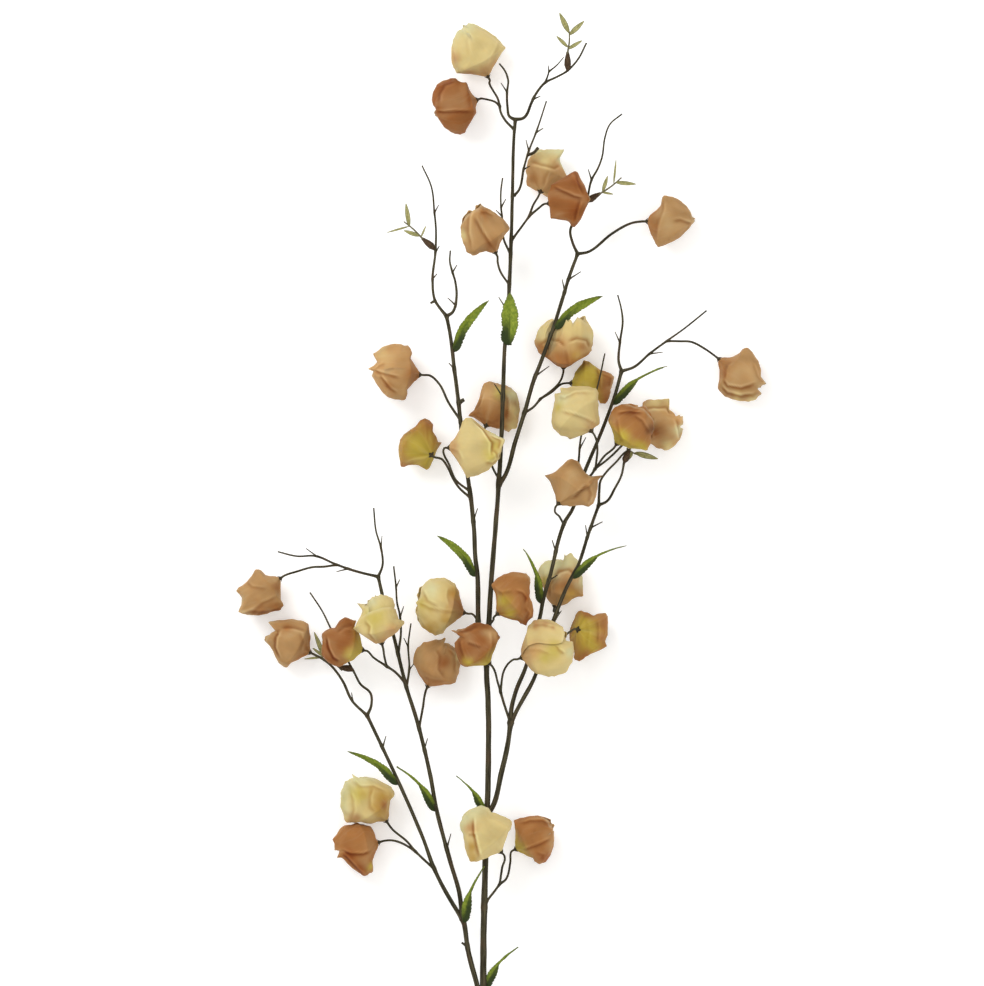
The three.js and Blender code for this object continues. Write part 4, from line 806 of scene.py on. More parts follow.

# Dyes brushed over a husk afterwards, and on some husks painted shade in a mouth or crease: where
# in plan, how wide, and the dye.
STAINS_AND_PAINTED_SHADE = {
    1: ((-43.5, 487.5, 5.5, PEACH), (-28.5, 470, 6.5, PEACH), (-14, 474, 5.5, PEACH),
       (-3, 480, 5.5, PEACH), (-31, 516, 7, PALE)),
    # painted shade where the husk's dark inside shows
    2: ((-59, 451.5, 4.5, RUST), (-55.5, 460.5, 5.5, RUST), (-47, 467.5, 3.5, RUST)),
    3: ((27.5, 379.5, 6.5, BROWN), (46.5, 367, 8, TAN), (39, 395.5, 8, CREAM)),
    # painted shade in the dark crease by the mouth
    4: ((65, 347, 5.5, RUST), (67, 376, 5.5, RUST)),
    5: ((133.5, 336, 8, BROWN),),
    6: ((-35.5, 327, 4.5, CREAM), (-16, 348, 5.5, BROWN), (-8.5, 317, 7, BROWN)),
    7: ((-104, 223, 7, CREAM), (-80.5, 205, 8, BROWN), (-102, 192, 4.5, BROWN),
       (-98.5, 224.5, 11, PEACH)),
    8: ((-77, 137, 10, STRAW), (-74, 134.5, 20, YELLOW_GREEN), (-64.5, 124, 12.5, YELLOW_GREEN),
       (-65, 160, 5.5, BROWN), (-89.5, 120, 4.5, BROWN)),
    9: ((-5, 138, 7, STRAW), (-8.5, 127.5, 6.5, STRAW), (0.5, 151, 5.5, PALE),
       (-44.5, 136.5, 5.5, PEACH)),
    10: ((11, 185, 8, PALE), (13, 169.5, 7, CREAM), (9.5, 156, 7, CREAM), (-25, 163.5, 7, BROWN),
       (-4, 158, 5.5, BROWN), (4, 167, 4.5, BROWN), (-14, 183, 11.5, PEACH), (-1.5, 187, 5.5, STRAW)),
    11: ((33, 242.5, 7, PALE), (79.5, 237, 7, PALE), (34.5, 226.5, 7, BROWN),
       (54.5, 214.5, 13.5, BROWN), (74, 226.5, 8, BROWN), (69, 219, 6.5, OCHRE), (43, 246, 10, CREAM),
       (78, 244.5, 10, CREAM), (52.5, 229, 5.5, PEACH)),
    12: ((70.5, 203, 12.5, YELLOW_GREEN), (98.5, 192, 11.5, BROWN), (75, 214.5, 4.5, OCHRE)),
    13: ((52.5, 181.5, 6.5, PALE), (49, 172.5, 4.5, STRAW), (81.5, 154.5, 7, PEACH)),
    # its two darkest stains are painted shade, in the mouth and under the fold at its top
    15: ((135.5, 152.5, 6.5, PAINTED_SHADE_BROWN), (108.5, 145.5, 8, YELLOW_GREEN), (124.5, 137, 6.5, YELLOW_GREEN),
       (117.5, 169.5, 5.5, DARK_BROWN)),
    16: ((198.5, 205, 6.5, BROWN), (213, 183, 4.5, CREAM), (225.5, 181.5, 4.5, CREAM),
       (223.5, 206.5, 8, PEACH)),
    # its darkest stain is painted shade where the foot lies hidden
    17: ((138, 150, 6.5, UMBER), (133.5, 155, 6.5, PAINTED_SHADE_BROWN), (139, 178, 7, CREAM),
       (150, 179.5, 5.5, CREAM), (161.5, 152.5, 6.5, PALE), (150, 139, 5.5, CREAM)),
    18: ((0.5, -0.5, 7, YELLOW_GREEN), (7.5, -13, 5.5, YELLOW_GREEN), (24, 1.5, 3.5, RUST),
       (24, -20, 5.5, RUST)),
    19: ((42, 30, 8, PALE), (62.5, 39, 6.5, PALE), (58, 12, 12.5, BROWN), (66, 22, 7, PEACH),
       (63.5, 3, 8, OCHRE), (37.5, 16, 4.5, STRAW)),
    20: ((78, -33, 15.5, YELLOW_GREEN), (74, -20, 9, YELLOW_GREEN), (81.5, -43.5, 7, YELLOW_GREEN),
       (76, -9.5, 5.5, BROWN), (93, -20, 6.5, BROWN), (92, -34.5, 6.5, BROWN), (74, -52.5, 6.5, BROWN)),
    21: ((-30, -58, 5.5, YELLOW_GREEN), (-8.5, -31, 5.5, PEACH)),
    22: ((29, -46.5, 11, PEACH), (39, -52, 7, STRAW), (31, -22, 3.5, PEACH), (39, -21, 3.5, PEACH),
       (46.5, -23, 2.5, PEACH), (46.5, -45.5, 7, STRAW), (63.5, -47, 5.5, PALE)),
    23: ((-215.5, -9.5, 5.5, BROWN), (-204, -7.5, 5.5, BROWN), (-202, 10.5, 4.5, BROWN)),
    24: ((-52.5, -57, 7, UMBER), (-70, -47, 9, PEACH), (-38, -52, 3.5, CREAM)),
    25: ((-113, -16, 11, STRAW), (-116.5, -0.5, 7, PALE), (-98.5, -27.5, 6.5, PEACH)),
    26: ((-134.5, -51, 7, YELLOW_GREEN), (-157, -43.5, 3.5, RUST), (-151, -53.5, 3.5, RUST)),
    27: ((-193, -26.5, 4.5, BROWN),),
    28: ((-42, 5, 9, OCHRE), (-39, -6, 10, BROWN), (-48, -18.5, 9, OCHRE), (-64.5, -25.5, 7, OCHRE),
       (-73.5, -4, 7, STRAW), (-62.5, 8.5, 6.5, PALE)),
    29: ((-29, -204, 5.5, PEACH), (-26.5, -222, 5.5, OCHRE), (-25, -231, 4.5, OCHRE),
       (-32, -191, 5.5, PALE)),
    30: ((39, -233.5, 7, RUST), (15, -224.5, 5.5, YELLOW_GREEN)),
    31: ((-142.5, -185, 8, PALE), (-142.5, -171.5, 7, PALE), (-128, -175, 9, STRAW),
       (-107.5, -178, 11, OCHRE), (-110, -189.5, 10, OCHRE), (-104, -185, 5.5, BROWN),
       (-131, -197.5, 5.5, PEACH)),
    32: ((-137, -232, 6.5, RUST), (-126.5, -241.5, 5.5, RUST), (-116.5, -241.5, 3.5, YELLOW_GREEN)),
}

# Folds over the top of a husk, with shade and highlight painted along them: how far the cloth
# stands up on the left of the line, and the line.
FOLDS = {
    1: ((0.2, (-30.5, 507.5), (-30, 498), (-28, 488.5)), (0.3, (-10.5, 484.5), (-6, 492.5), (-0.5, 505))),
    2: ((0.9, (-39.5, 468.5), (-50, 462.5), (-54.5, 455), (-56.5, 445)),
        (1.2, (-63, 439.5), (-52, 439), (-41.5, 440), (-20.5, 439)),
        (0.5, (-30, 466.5), (-28, 454), (-26, 439.5))),
    3: ((0.8, (56.5, 392), (48, 387.5), (35.5, 390.5), (24, 394.5)),
        (0.5, (44, 387.5), (40, 379), (38.5, 371))),
    4: ((1.2, (44, 373), (54, 367.5), (65.5, 362), (75.5, 360)),
        (1.0, (72.5, 359.5), (69, 349.5), (66.5, 336.5)),
        (0.7, (74.5, 362.5), (67.5, 374.5), (62.5, 382.5))),
    5: ((0.9, (153, 341.5), (161, 342.5), (167, 340.5), (174.5, 338.5)),
        (0.5, (146, 363), (146, 351.5), (141, 337), (139, 321))),
    6: ((0.8, (-24.5, 354), (-29, 343.5), (-29.5, 329), (-25.5, 312)),
        (1.0, (-25, 345.5), (-16.5, 330), (-6, 314)), (0.7, (-21.5, 347), (-14, 348.5), (-5, 345.5))),
    7: ((1.0, (-119, 207.5), (-109, 204.5), (-100.5, 202.5), (-89, 199.5)),
        (0.5, (-117, 206), (-112, 211.5), (-104.5, 213.5)),
        (1.0, (-110, 202), (-107.5, 199), (-100.5, 190.5), (-91.5, 183.5))),
    8: ((0.3, (-63, 131), (-67, 145.5), (-68, 160.5)), (0.3, (-63, 130), (-79.5, 127), (-91, 124))),
    9: ((1.2, (-8.5, 126), (-9.5, 141), (-16, 155.5), (-27.5, 165)),
        (0.8, (-8, 150), (-1.5, 144), (1, 133.5)), (0.7, (-1.5, 124), (-3.5, 130.5), (-7.5, 133.5)),
        (0.7, (-15, 124), (-6.5, 121.5), (-0.5, 125)), (0.4, (-47.5, 136.5), (-39, 133.5), (-35, 123))),
    10: ((0.7, (-17.5, 188.5), (-21, 176), (-30, 166.5)), (0.8, (5, 187.5), (7, 176), (5.5, 159.5)),
        (0.5, (-25, 165.5), (-15.5, 162.5), (-3, 157.5))),
    11: ((1.0, (82, 223.5), (76, 232.5), (67.5, 234), (59, 231)),
        (1.0, (58, 226), (51, 232), (42.5, 233), (32.5, 227)), (0.4, (58, 226), (60, 218.5), (61.5, 209))),
    12: ((0.9, (87, 212), (89, 201.5), (89, 189)), (0.5, (90.5, 204.5), (98.5, 199.5), (100.5, 189))),
    13: ((0.6, (49.5, 170.5), (64, 167), (76.5, 162.5), (87.5, 157)),
        (0.5, (48.5, 185), (56, 182), (66.5, 187.5), (85, 185))),
    14: ((1.0, (62, 89.5), (69.5, 97.5), (76.5, 104.5)), (0.5, (77, 104.5), (81, 109), (90, 112)),
        (0.7, (77.5, 104.5), (81, 95), (79, 84.5)), (0.3, (57, 119), (65, 125.5), (73.5, 119))),
    15: ((1.0, (102, 167.5), (114.5, 170), (129, 169)), (0.8, (118.5, 166.5), (127, 161), (133.5, 148.5)),
        (0.6, (103, 165), (105, 150.5), (110.5, 139))),
    16: ((1.3, (197.5, 199), (203, 192.5), (215.5, 191), (232.5, 196)),
        (1.3, (195, 192.5), (203, 186), (215.5, 184.5), (234, 187.5)),
        (0.5, (207.5, 216), (202, 207.5), (200, 197)), (0.5, (227, 214), (231.5, 203.5), (235.5, 196))),
    17: ((1.0, (153, 166.5), (147.5, 172), (137, 172.5), (126.5, 170)),
        (1.0, (138, 164.5), (134, 154), (136, 143.5)), (0.8, (161, 137.5), (160, 152), (155.5, 164.5))),
    18: ((0.9, (11, 9), (19.5, 7), (24, 2), (21, -6)), (0.7, (21, -6), (26, -12.5), (23.5, -20)),
        (0.5, (-4.5, 9), (0.5, 7), (11, 9))),
    19: ((0.9, (73, 17.5), (60, 26), (53, 24.5), (46.5, 18.5)), (0.7, (49, 19), (43.5, 12), (44.5, 1.5))),
    20: ((0.3, (77, -14.5), (79, -29), (77, -46)), (0.5, (86.5, -16.5), (88.5, -29), (87.5, -41.5))),
    21: ((1.0, (-31.5, -37), (-24.5, -39.5), (-17, -42)), (0.8, (-38, -34), (-36.5, -43.5), (-33, -54.5)),
        (0.7, (-18, -25), (-33, -29), (-42, -29.5)), (0.6, (-13, -55), (-7.5, -41.5), (-10, -26.5))),
    22: ((0.8, (50.5, -39.5), (52.5, -44), (58, -48.5)), (0.4, (22.5, -44), (34, -44), (45.5, -48.5)),
        (0.5, (25.5, -23), (37, -21.5), (50.5, -23))),
    23: ((0.7, (-226.5, -10), (-216, -3), (-200, 4)),
        (0.8, (-236.5, -9.5), (-224.5, -8.5), (-208, -10.5), (-197, -6)),
        (0.5, (-230.5, 18), (-224.5, 12), (-210, 10))),
    24: ((0.6, (-50.5, -73.5), (-57.5, -63), (-56.5, -50.5), (-60.5, -44)),
        (0.6, (-48, -42), (-41, -50.5), (-40.5, -69)), (0.4, (-72, -69), (-61.5, -72.5), (-49, -73.5))),
    25: ((0.7, (-123.5, -16.5), (-117.5, -24), (-118.5, -31), (-111, -38)),),
    26: ((1.7, (-158.5, -31.5), (-156, -42), (-151, -52.5), (-144, -57)),
        (0.8, (-131, -23), (-140.5, -25.5), (-148.5, -30))),
    27: ((1.3, (-198, -26), (-202.5, -33.5), (-204, -44), (-198, -57)),
        (0.9, (-174.5, -29.5), (-187, -26), (-199.5, -26)),
        (0.5, (-181, -28.5), (-177.5, -38.5), (-181, -49))),
    28: ((0.5, (-75.5, -1.5), (-64.5, -7), (-50, -10), (-37, -10.5)),
        (0.5, (-70, 9), (-66, -0.5), (-55.5, -6)), (0.4, (-46.5, -6), (-49, 3), (-47.5, 12.5))),
    29: ((1.2, (-25.5, -191), (-24.5, -208.5), (-22, -219), (-17.5, -233)),
        (0.7, (-32, -209.5), (-27.5, -209.5), (-22, -210))),
    30: ((1.0, (17.5, -226), (31, -221), (47, -214)),
        (0.9, (14, -201.5), (25.5, -198.5), (36.5, -199), (47, -204)),
        (0.5, (31, -227.5), (39, -230.5), (37, -237.5))),
    31: ((0.5, (-136, -172), (-132, -181), (-131.5, -189), (-134.5, -199)),
        (0.5, (-114.5, -168), (-117.5, -177), (-117.5, -186), (-112.5, -192)),
        (0.5, (-136, -162), (-127, -167.5), (-114.5, -166.5), (-98.5, -174))),
    32: ((1.3, (-145.5, -224.5), (-135.5, -228.5), (-124.5, -228.5), (-116.5, -225.5)),
        (1.2, (-145, -227), (-137, -235), (-129, -243.5), (-122.5, -248))),
}

# Each husk's edge in plan, in mm, with its corners, torn tips and notches.
HUSK_OUTLINES = [
    ((-13, 473), (-21, 472.5), (-28.5, 473.5), (-34.5, 473), (-40, 474), (-44.5, 479), (-46.5, 487.5),
     (-46, 495.5), (-44, 504), (-41, 511), (-37.5, 515), (-34.5, 519.5), (-31, 522.5), (-26, 520),
     (-18, 516), (-12, 512.5), (-4.5, 507.5), (0.5, 503), (4, 498), (2.5, 494), (-1.5, 489),
     (-5.5, 483), (-9.5, 476.5)),
    ((-23, 450), (-26, 455), (-28.5, 460), (-30, 465.5), (-31, 467.5), (-36.5, 467), (-41.5, 470),
     (-46.5, 471), (-53.5, 469), (-59, 464.5), (-62, 457), (-63, 450.5), (-62, 445.5), (-59, 441.5),
     (-61, 438), (-58.5, 434), (-55, 430), (-51.5, 425), (-47, 421.5), (-41.5, 419), (-37, 418),
     (-32.5, 420), (-31.5, 423.5), (-29, 428), (-25, 433), (-22, 438.5), (-23, 444)),
    ((35, 364.5), (27, 368.5), (21.5, 372), (20.5, 376.5), (22, 382), (21.5, 390), (23.5, 396),
     (26.5, 400.5), (30, 404.5), (32, 406), (43, 406), (57.5, 406.5), (56, 403.5), (52.5, 398),
     (53.5, 394), (56, 388.5), (59, 382), (59, 376.5), (56, 370.5), (50, 364.5), (42, 360.5)),
    ((42, 356.5), (40.5, 363), (44, 372), (53, 378), (59, 382.5), (62.5, 385.5), (66, 386.5),
     (68.5, 384.5), (71, 378.5), (74.5, 372), (76.5, 366), (79.5, 359), (77, 355), (74.5, 349),
     (71.5, 341.5), (68.5, 337), (65.5, 334), (62.5, 335.5), (61, 339), (57.5, 340.5), (50, 341),
     (43, 341), (43, 349.5)),
    ((131, 342.5), (133.5, 346.5), (139.5, 351), (143.5, 355.5), (144, 360), (144.5, 363.5),
     (148.5, 365), (154.5, 363.5), (162, 359.5), (168, 354), (172, 347.5), (176, 341.5), (173, 338),
     (168, 332.5), (161.5, 326.5), (154, 321.5), (145.5, 318), (141, 317.5), (138, 318.5),
     (136.5, 323), (134, 329), (132.5, 335.5)),
    ((-6, 311.5), (-13.5, 313), (-19.5, 311.5), (-22.5, 309), (-26.5, 307.5), (-30.5, 310),
     (-34, 317.5), (-36.5, 326), (-37, 334.5), (-35.5, 342), (-31.5, 349.5), (-25.5, 354),
     (-21.5, 356), (-19.5, 359), (-16, 354), (-11.5, 351.5), (-5.5, 348), (1.5, 342.5), (6.5, 337.5),
     (8, 332), (3.5, 327.5), (0, 322), (-3, 316.5)),
    ((-75, 203), (-76, 207.5), (-79, 213), (-82, 218), (-79.5, 222.5), (-80.5, 227), (-84, 229),
     (-90, 231.5), (-96, 231.5), (-103.5, 229.5), (-109, 227), (-116.5, 222), (-114, 217), (-112, 214),
     (-115.5, 210.5), (-120.5, 207.5), (-115.5, 205.5), (-117, 201.5), (-114, 196), (-110.5, 191),
     (-107.5, 186.5), (-103, 182), (-96, 179.5), (-90, 179), (-85.5, 180), (-84, 184), (-85, 188),
     (-81, 193), (-77.5, 197.5)),
    ((-69, 164), (-64.5, 162), (-61.5, 157.5), (-62, 151.5), (-59, 147), (-56, 142.5), (-52, 142),
     (-54.5, 137.5), (-57, 134), (-59, 127), (-62, 120.5), (-64.5, 116), (-67, 114.5), (-70.5, 116.5),
     (-75, 119), (-80.5, 121), (-85.5, 120.5), (-88, 119), (-91, 119.5), (-92, 126), (-93, 132),
     (-93, 138), (-91.5, 144), (-88.5, 148.5), (-82.5, 153), (-77.5, 156), (-73.5, 161.5)),
    ((-47.5, 136.5), (-45, 141.5), (-41.5, 146.5), (-38.5, 152.5), (-36, 158.5), (-32.5, 164),
     (-27, 163.5), (-20, 158), (-14, 152.5), (-8.5, 150), (-2, 148), (3, 145.5), (4, 139), (2, 133),
     (-1.5, 125.5), (-6.5, 120.5), (-11, 116), (-18.5, 112.5), (-24.5, 109.5), (-31, 109),
     (-34, 112.5), (-37.5, 119.5), (-40.5, 125.5), (-45, 132)),
    ((-14, 155), (-22, 159.5), (-28, 163.5), (-33.5, 164), (-31, 167.5), (-26.5, 170), (-22, 175.5),
     (-20, 180.5), (-18.5, 189.5), (-16, 195.5), (-11, 197.5), (-5.5, 196), (-1, 194.5), (5, 193),
     (10, 191), (14, 186.5), (16, 178), (17, 169), (16, 160), (13.5, 152), (8, 148), (3.5, 150),
     (-4, 152)),
    ((56, 209), (50, 210), (44.5, 214), (38, 218), (33, 222.5), (29.5, 227.5), (28.5, 233),
     (31, 240.5), (35.5, 246.5), (41, 251), (46.5, 253.5), (53.5, 255.5), (59, 257.5), (63, 252.5),
     (65.5, 243.5), (67, 252.5), (70.5, 259), (74.5, 257), (79, 251), (83, 244.5), (84.5, 237.5),
     (84, 230), (82, 224.5), (79, 221), (73, 216.5), (67, 213.5), (61.5, 210)),
    ((62.5, 194), (64, 197.5), (66, 204.5), (70, 211), (74.5, 216), (79, 215), (84.5, 210.5),
     (89, 207), (94, 206), (99.5, 203.5), (102, 200.5), (101, 193.5), (98.5, 186), (96.5, 179),
     (94, 175.5), (89.5, 175.5), (87.5, 179.5), (80.5, 182.5), (73, 186), (65.5, 189.5)),
    ((81, 151.5), (88.5, 157), (89.5, 162), (88, 171), (87, 178.5), (87.5, 186), (85, 190), (79, 192),
     (71.5, 192), (64, 192), (59, 190.5), (52.5, 190.5), (53, 186), (47.5, 185.5), (47.5, 180),
     (46.5, 174), (45, 166.5), (44.5, 157.5), (46, 151.5), (50.5, 149), (57, 144.5), (62, 141.5),
     (67, 143), (73.5, 146.5)),
    ((51, 86), (48.5, 92), (44.5, 99.5), (41, 107.5), (37.5, 112), (43.5, 114), (48, 115.5), (53, 120),
     (59, 125.5), (63, 127), (67.5, 125.5), (70.5, 122.5), (73.5, 116.5), (78, 112), (82.5, 110.5),
     (92.5, 112.5), (87, 108), (86.5, 99.5), (85.5, 92), (83, 85.5), (78.5, 83), (73.5, 84.5),
     (67.5, 83.5), (61.5, 82.5), (58.5, 84), (54, 83.5)),
    ((103.5, 140), (101, 145.5), (98.5, 153), (95.5, 159), (96, 164.5), (97.5, 168.5), (101.5, 173.5),
     (107.5, 176), (114.5, 177), (121, 175), (128.5, 174.5), (134.5, 168.5), (137, 160.5),
     (137.5, 153), (134.5, 147), (134, 139.5), (131.5, 134), (127, 133.5), (121, 134.5), (115, 135.5),
     (109, 138)),
    ((196.5, 216.5), (203, 217.5), (209, 219), (214.5, 222.5), (217, 226.5), (220, 228), (224, 226),
     (228.5, 221.5), (232.5, 215.5), (234.5, 206.5), (234, 201), (237, 197.5), (240, 194),
     (234.5, 191.5), (230, 188.5), (235.5, 185.5), (231.5, 182.5), (229.5, 179.5), (222.5, 178),
     (215, 178), (207.5, 179), (201.5, 182), (196, 187), (194.5, 193), (196, 197.5), (196.5, 205),
     (196.5, 211)),
    ((125.5, 154.5), (126.5, 162.5), (125, 171.5), (126.5, 178), (132.5, 180.5), (141.5, 181.5),
     (151.5, 181.5), (151.5, 176), (150, 172), (155, 167.5), (157, 164.5), (161, 167), (162.5, 164),
     (165, 166), (165, 160), (164, 152.5), (162, 144.5), (156.5, 137.5), (152, 134), (146.5, 133),
     (142, 134.5), (138, 137.5), (134, 139), (129.5, 144.5)),
    ((-3, -13), (-4.5, -8.5), (-5, -0.5), (-6, 5), (-9, 10.5), (-9, 14.5), (-4.5, 19), (1, 23),
     (8, 25), (14.5, 25.5), (22, 24.5), (26, 22), (26, 16), (24.5, 8.5), (24, 3), (27.5, -2),
     (29, -9.5), (28.5, -16), (24.5, -19.5), (22, -23.5), (17.5, -23.5), (15, -20), (10, -19),
     (4, -16.5)),
    ((47, -8), (44.5, -5), (41, 0), (39.5, 4.5), (37.5, 10.5), (34, 16.5), (32, 24), (33, 28.5),
     (35, 31), (39, 34.5), (45, 36), (51, 36.5), (57.5, 36.5), (57.5, 44.5), (61.5, 43.5), (65, 40),
     (68.5, 37), (71.5, 33), (71, 24), (73.5, 20), (74, 12), (74.5, 2.5), (70, 2), (64.5, 0),
     (59.5, -4), (55, -6)),
    ((68.5, -8.5), (71.5, -8), (77.5, -11.5), (83, -15), (86.5, -13), (94, -12), (96.5, -15.5),
     (96, -24.5), (96, -32), (93.5, -38), (95.5, -42.5), (89, -46), (82, -49), (76, -52), (74, -54.5),
     (70, -56.5), (66, -55.5), (64.5, -51.5), (62.5, -44), (59.5, -37), (59.5, -31), (60, -26),
     (62.5, -20), (64.5, -16.5), (66, -11.5)),
    ((-11, -57.5), (-18.5, -59.5), (-25, -60), (-31, -61), (-37, -58.5), (-40.5, -52), (-42.5, -44.5),
     (-42.5, -38.5), (-38.5, -33.5), (-35.5, -30.5), (-39.5, -29), (-46, -27.5), (-38, -26),
     (-30, -23.5), (-25, -20.5), (-18.5, -19.5), (-11, -21), (-6, -25), (-2, -29.5), (-1, -34),
     (-3.5, -39.5), (-6.5, -46), (-9.5, -53)),
    ((17.5, -52), (17, -45.5), (18.5, -40), (20, -34), (22, -27.5), (24.5, -21.5), (28.5, -17.5),
     (36, -17), (43.5, -17.5), (49.5, -20), (54.5, -23.5), (60, -27.5), (60.5, -32), (58.5, -36.5),
     (66, -36.5), (67, -40), (65.5, -49), (63, -58), (58.5, -65), (51, -68.5), (42.5, -70), (39, -68),
     (31.5, -68), (26.5, -64), (23, -58.5), (19, -54)),
    ((-200, 18), (-207, 20.5), (-213, 22), (-216, 26), (-219, 28), (-223, 26.5), (-225.5, 21.5),
     (-230, 16), (-234.5, 12.5), (-237.5, 11), (-240, 7.5), (-236.5, 4.5), (-235, 1.5), (-235.5, -6),
     (-238, -12), (-232.5, -13.5), (-224.5, -15), (-216, -15), (-207, -13.5), (-198.5, -10),
     (-196, -4.5), (-198.5, 0), (-199, 7.5), (-199.5, 13.5)),
    ((-67.5, -78), (-70.5, -74), (-75, -67.5), (-79, -60), (-81, -55.5), (-79.5, -49), (-76, -43),
     (-70.5, -38.5), (-61.5, -36.5), (-55.5, -35), (-50, -34.5), (-52, -38.5), (-46.5, -40),
     (-42, -43.5), (-38.5, -49.5), (-36.5, -58.5), (-38, -67.5), (-41, -75), (-44.5, -78),
     (-52.5, -77.5), (-61.5, -79)),
    ((-107.5, -40), (-112.5, -40.5), (-116.5, -37.5), (-124, -33), (-130, -28.5), (-134.5, -26),
     (-132, -24), (-130, -20), (-126.5, -15), (-124.5, -9.5), (-127, -6), (-130.5, -2.5),
     (-125.5, -3.5), (-121, -2.5), (-121, 0.5), (-116.5, 3.5), (-110, 6), (-102.5, 4.5), (-97.5, 2),
     (-95, -4.5), (-93.5, -12), (-92, -17.5), (-86.5, -19), (-88, -24), (-92, -28.5), (-98, -32.5),
     (-104, -35.5)),
    ((-124.5, -44), (-126.5, -35), (-128, -29), (-132, -25), (-130.5, -19), (-134.5, -16.5),
     (-141, -15.5), (-146, -19), (-150, -25.5), (-154, -25.5), (-159, -28), (-162, -30.5),
     (-160.5, -36.5), (-162, -44), (-162, -50), (-157.5, -55.5), (-151.5, -59.5), (-145.5, -61),
     (-140.5, -58), (-133, -55), (-128.5, -50)),
    ((-174, -48), (-173, -42), (-172, -33), (-173, -23.5), (-176, -20), (-182, -18), (-189.5, -17),
     (-196, -18.5), (-203, -18.5), (-211, -20.5), (-209, -22.5), (-203, -23.5), (-198.5, -25),
     (-199, -26.5), (-203.5, -28), (-209.5, -31), (-214.5, -34), (-215.5, -36.5), (-209.5, -41.5),
     (-206.5, -46.5), (-204.5, -52.5), (-201, -58.5), (-196.5, -62), (-192.5, -61.5), (-189.5, -58),
     (-183.5, -55), (-177.5, -51)),
    ((-34.5, -12.5), (-35, -6), (-37, 1.5), (-37.5, 7.5), (-40.5, 13), (-45, 17.5), (-52, 20.5),
     (-58, 21), (-64, 19.5), (-70, 14.5), (-74.5, 11), (-77, 7), (-78.5, 1.5),
     (-79.5, -4.5), (-78.5, -12), (-75.5, -19.5), (-71, -26.5), (-65.5, -31.5), (-59.5, -33),
     (-53, -31), (-48, -25.5), (-42, -20.5), (-36, -15)),
    ((-0.5, -226.5), (-4, -228), (-9.5, -230), (-14, -233), (-19.5, -235.5), (-24, -237.5),
     (-28, -236), (-31, -230), (-33.5, -221), (-34.5, -213), (-35, -210), (-37.5, -206.5),
     (-37.5, -199), (-34.5, -192.5), (-29, -188), (-24, -186), (-18, -184), (-11.5, -186),
     (-9, -190.5), (-4.5, -191.5), (1.5, -194), (8, -197), (11.5, -201), (10, -206.5), (7, -208.5),
     (5, -214), (2.5, -219.5)),
    ((12.5, -226), (12, -218), (12, -209), (10.5, -204.5), (10.5, -199.5), (17, -196.5), (24.5, -195),
     (33.5, -195), (41, -196.5), (45.5, -199), (48, -202.5), (50.5, -204.5), (48, -207.5), (48, -215),
     (47.5, -224), (45, -232), (40.5, -238), (35, -239.5), (29.5, -238), (28.5, -234), (23, -232),
     (17, -228)),
    ((-104.5, -199), (-102, -196), (-101, -188.5), (-100, -181.5), (-96.5, -178), (-96, -173),
     (-99, -169), (-106, -165.5), (-113.5, -161.5), (-122.5, -159.5), (-129.5, -158), (-136, -155.5),
     (-133.5, -160), (-137, -161), (-141.5, -163.5), (-144, -169), (-145.5, -176), (-146, -187),
     (-144.5, -196), (-140.5, -203), (-133, -202), (-127, -201.5), (-118, -203), (-112, -201.5)),
    ((-112, -220), (-113, -214), (-115, -208.5), (-117.5, -204), (-124, -201.5), (-133, -201.5),
     (-142, -203), (-146.5, -207), (-149.5, -212.5), (-153, -216.5), (-151, -220), (-151, -226.5),
     (-146, -224), (-146.5, -228.5), (-149, -233.5), (-143.5, -232.5), (-139, -238.5), (-134.5, -243),
     (-130, -246.5), (-124.5, -250), (-120.5, -250), (-116.5, -247.5), (-115, -242.5), (-116, -236.5),
     (-114, -230.5), (-112, -224.5)),
]

husk_cloth, made, husk_shader = start_material("husk_cloth")
# the dye holds painted shade, painted highlights and a painted glow as well as the cloth's own colours
dye = made.attribute("dye", "Color")
across, along, petal_number = made.attribute("cloth", "Vector").parts()
lengthwise = made.add("ShaderNodeCombineXYZ", None, {0: across, 1: along * 0.12, 2: petal_number})
place = made.place()
streaks = made.speckle(lengthwise, 300, 3, 0.6)
clouds = made.speckle(place, 60, 3)
creases = (made.speckle(place, 45, 2) - 0.5).sum("ABSOLUTE").spread(0.0, 0.05)
threads = (across * 9000).sum("SINE") * (along * 9000).sum("SINE")
colour = (clouds.spread(0.35, 0.7) * 0.25).tint(dye, CLOUD_SHADE, "MULTIPLY")
colour = (streaks.spread(0.5, 0.8) * 0.05).tint(colour, PALE_STREAK)
colour = ((1 - streaks).spread(0.5, 0.8) * 0.08).tint(colour, WARM_STREAK, "MULTIPLY")
relief = (0.4 * streaks + clouds + 0.5 * creases + 0.05 * threads).relief(0.35, 0.0006)
wire_surface(husk_shader, colour, 0.8 - 0.1 * streaks, relief, 0.1)
set_sockets(husk_shader, {"Subsurface Weight": 0.35, "Subsurface Radius": (1.0, 0.7, 0.4),
                          "Subsurface Scale": 2.5 * MM})


def eased(value, low, high):
    share = min(max((value - low) / (high - low), 0), 1)
    return share * share * (3 - 2 * share)


def add_wall(piece, thickness):
    """Gives a thin sheet its thickness."""
    wall = piece.modifiers.new("wall", "SOLIDIFY")
    wall.thickness = thickness * MM
    wall.offset = -1


def swell(share, mouth):
    """A husk's radius at a share of its length, as a share of its half width."""
    if share < SHOULDER:
        return (share / SHOULDER) ** WIDENING
    return 1 - (1 - mouth) * (min((share - SHOULDER) / (1 - SHOULDER), 1)) ** CLOSING


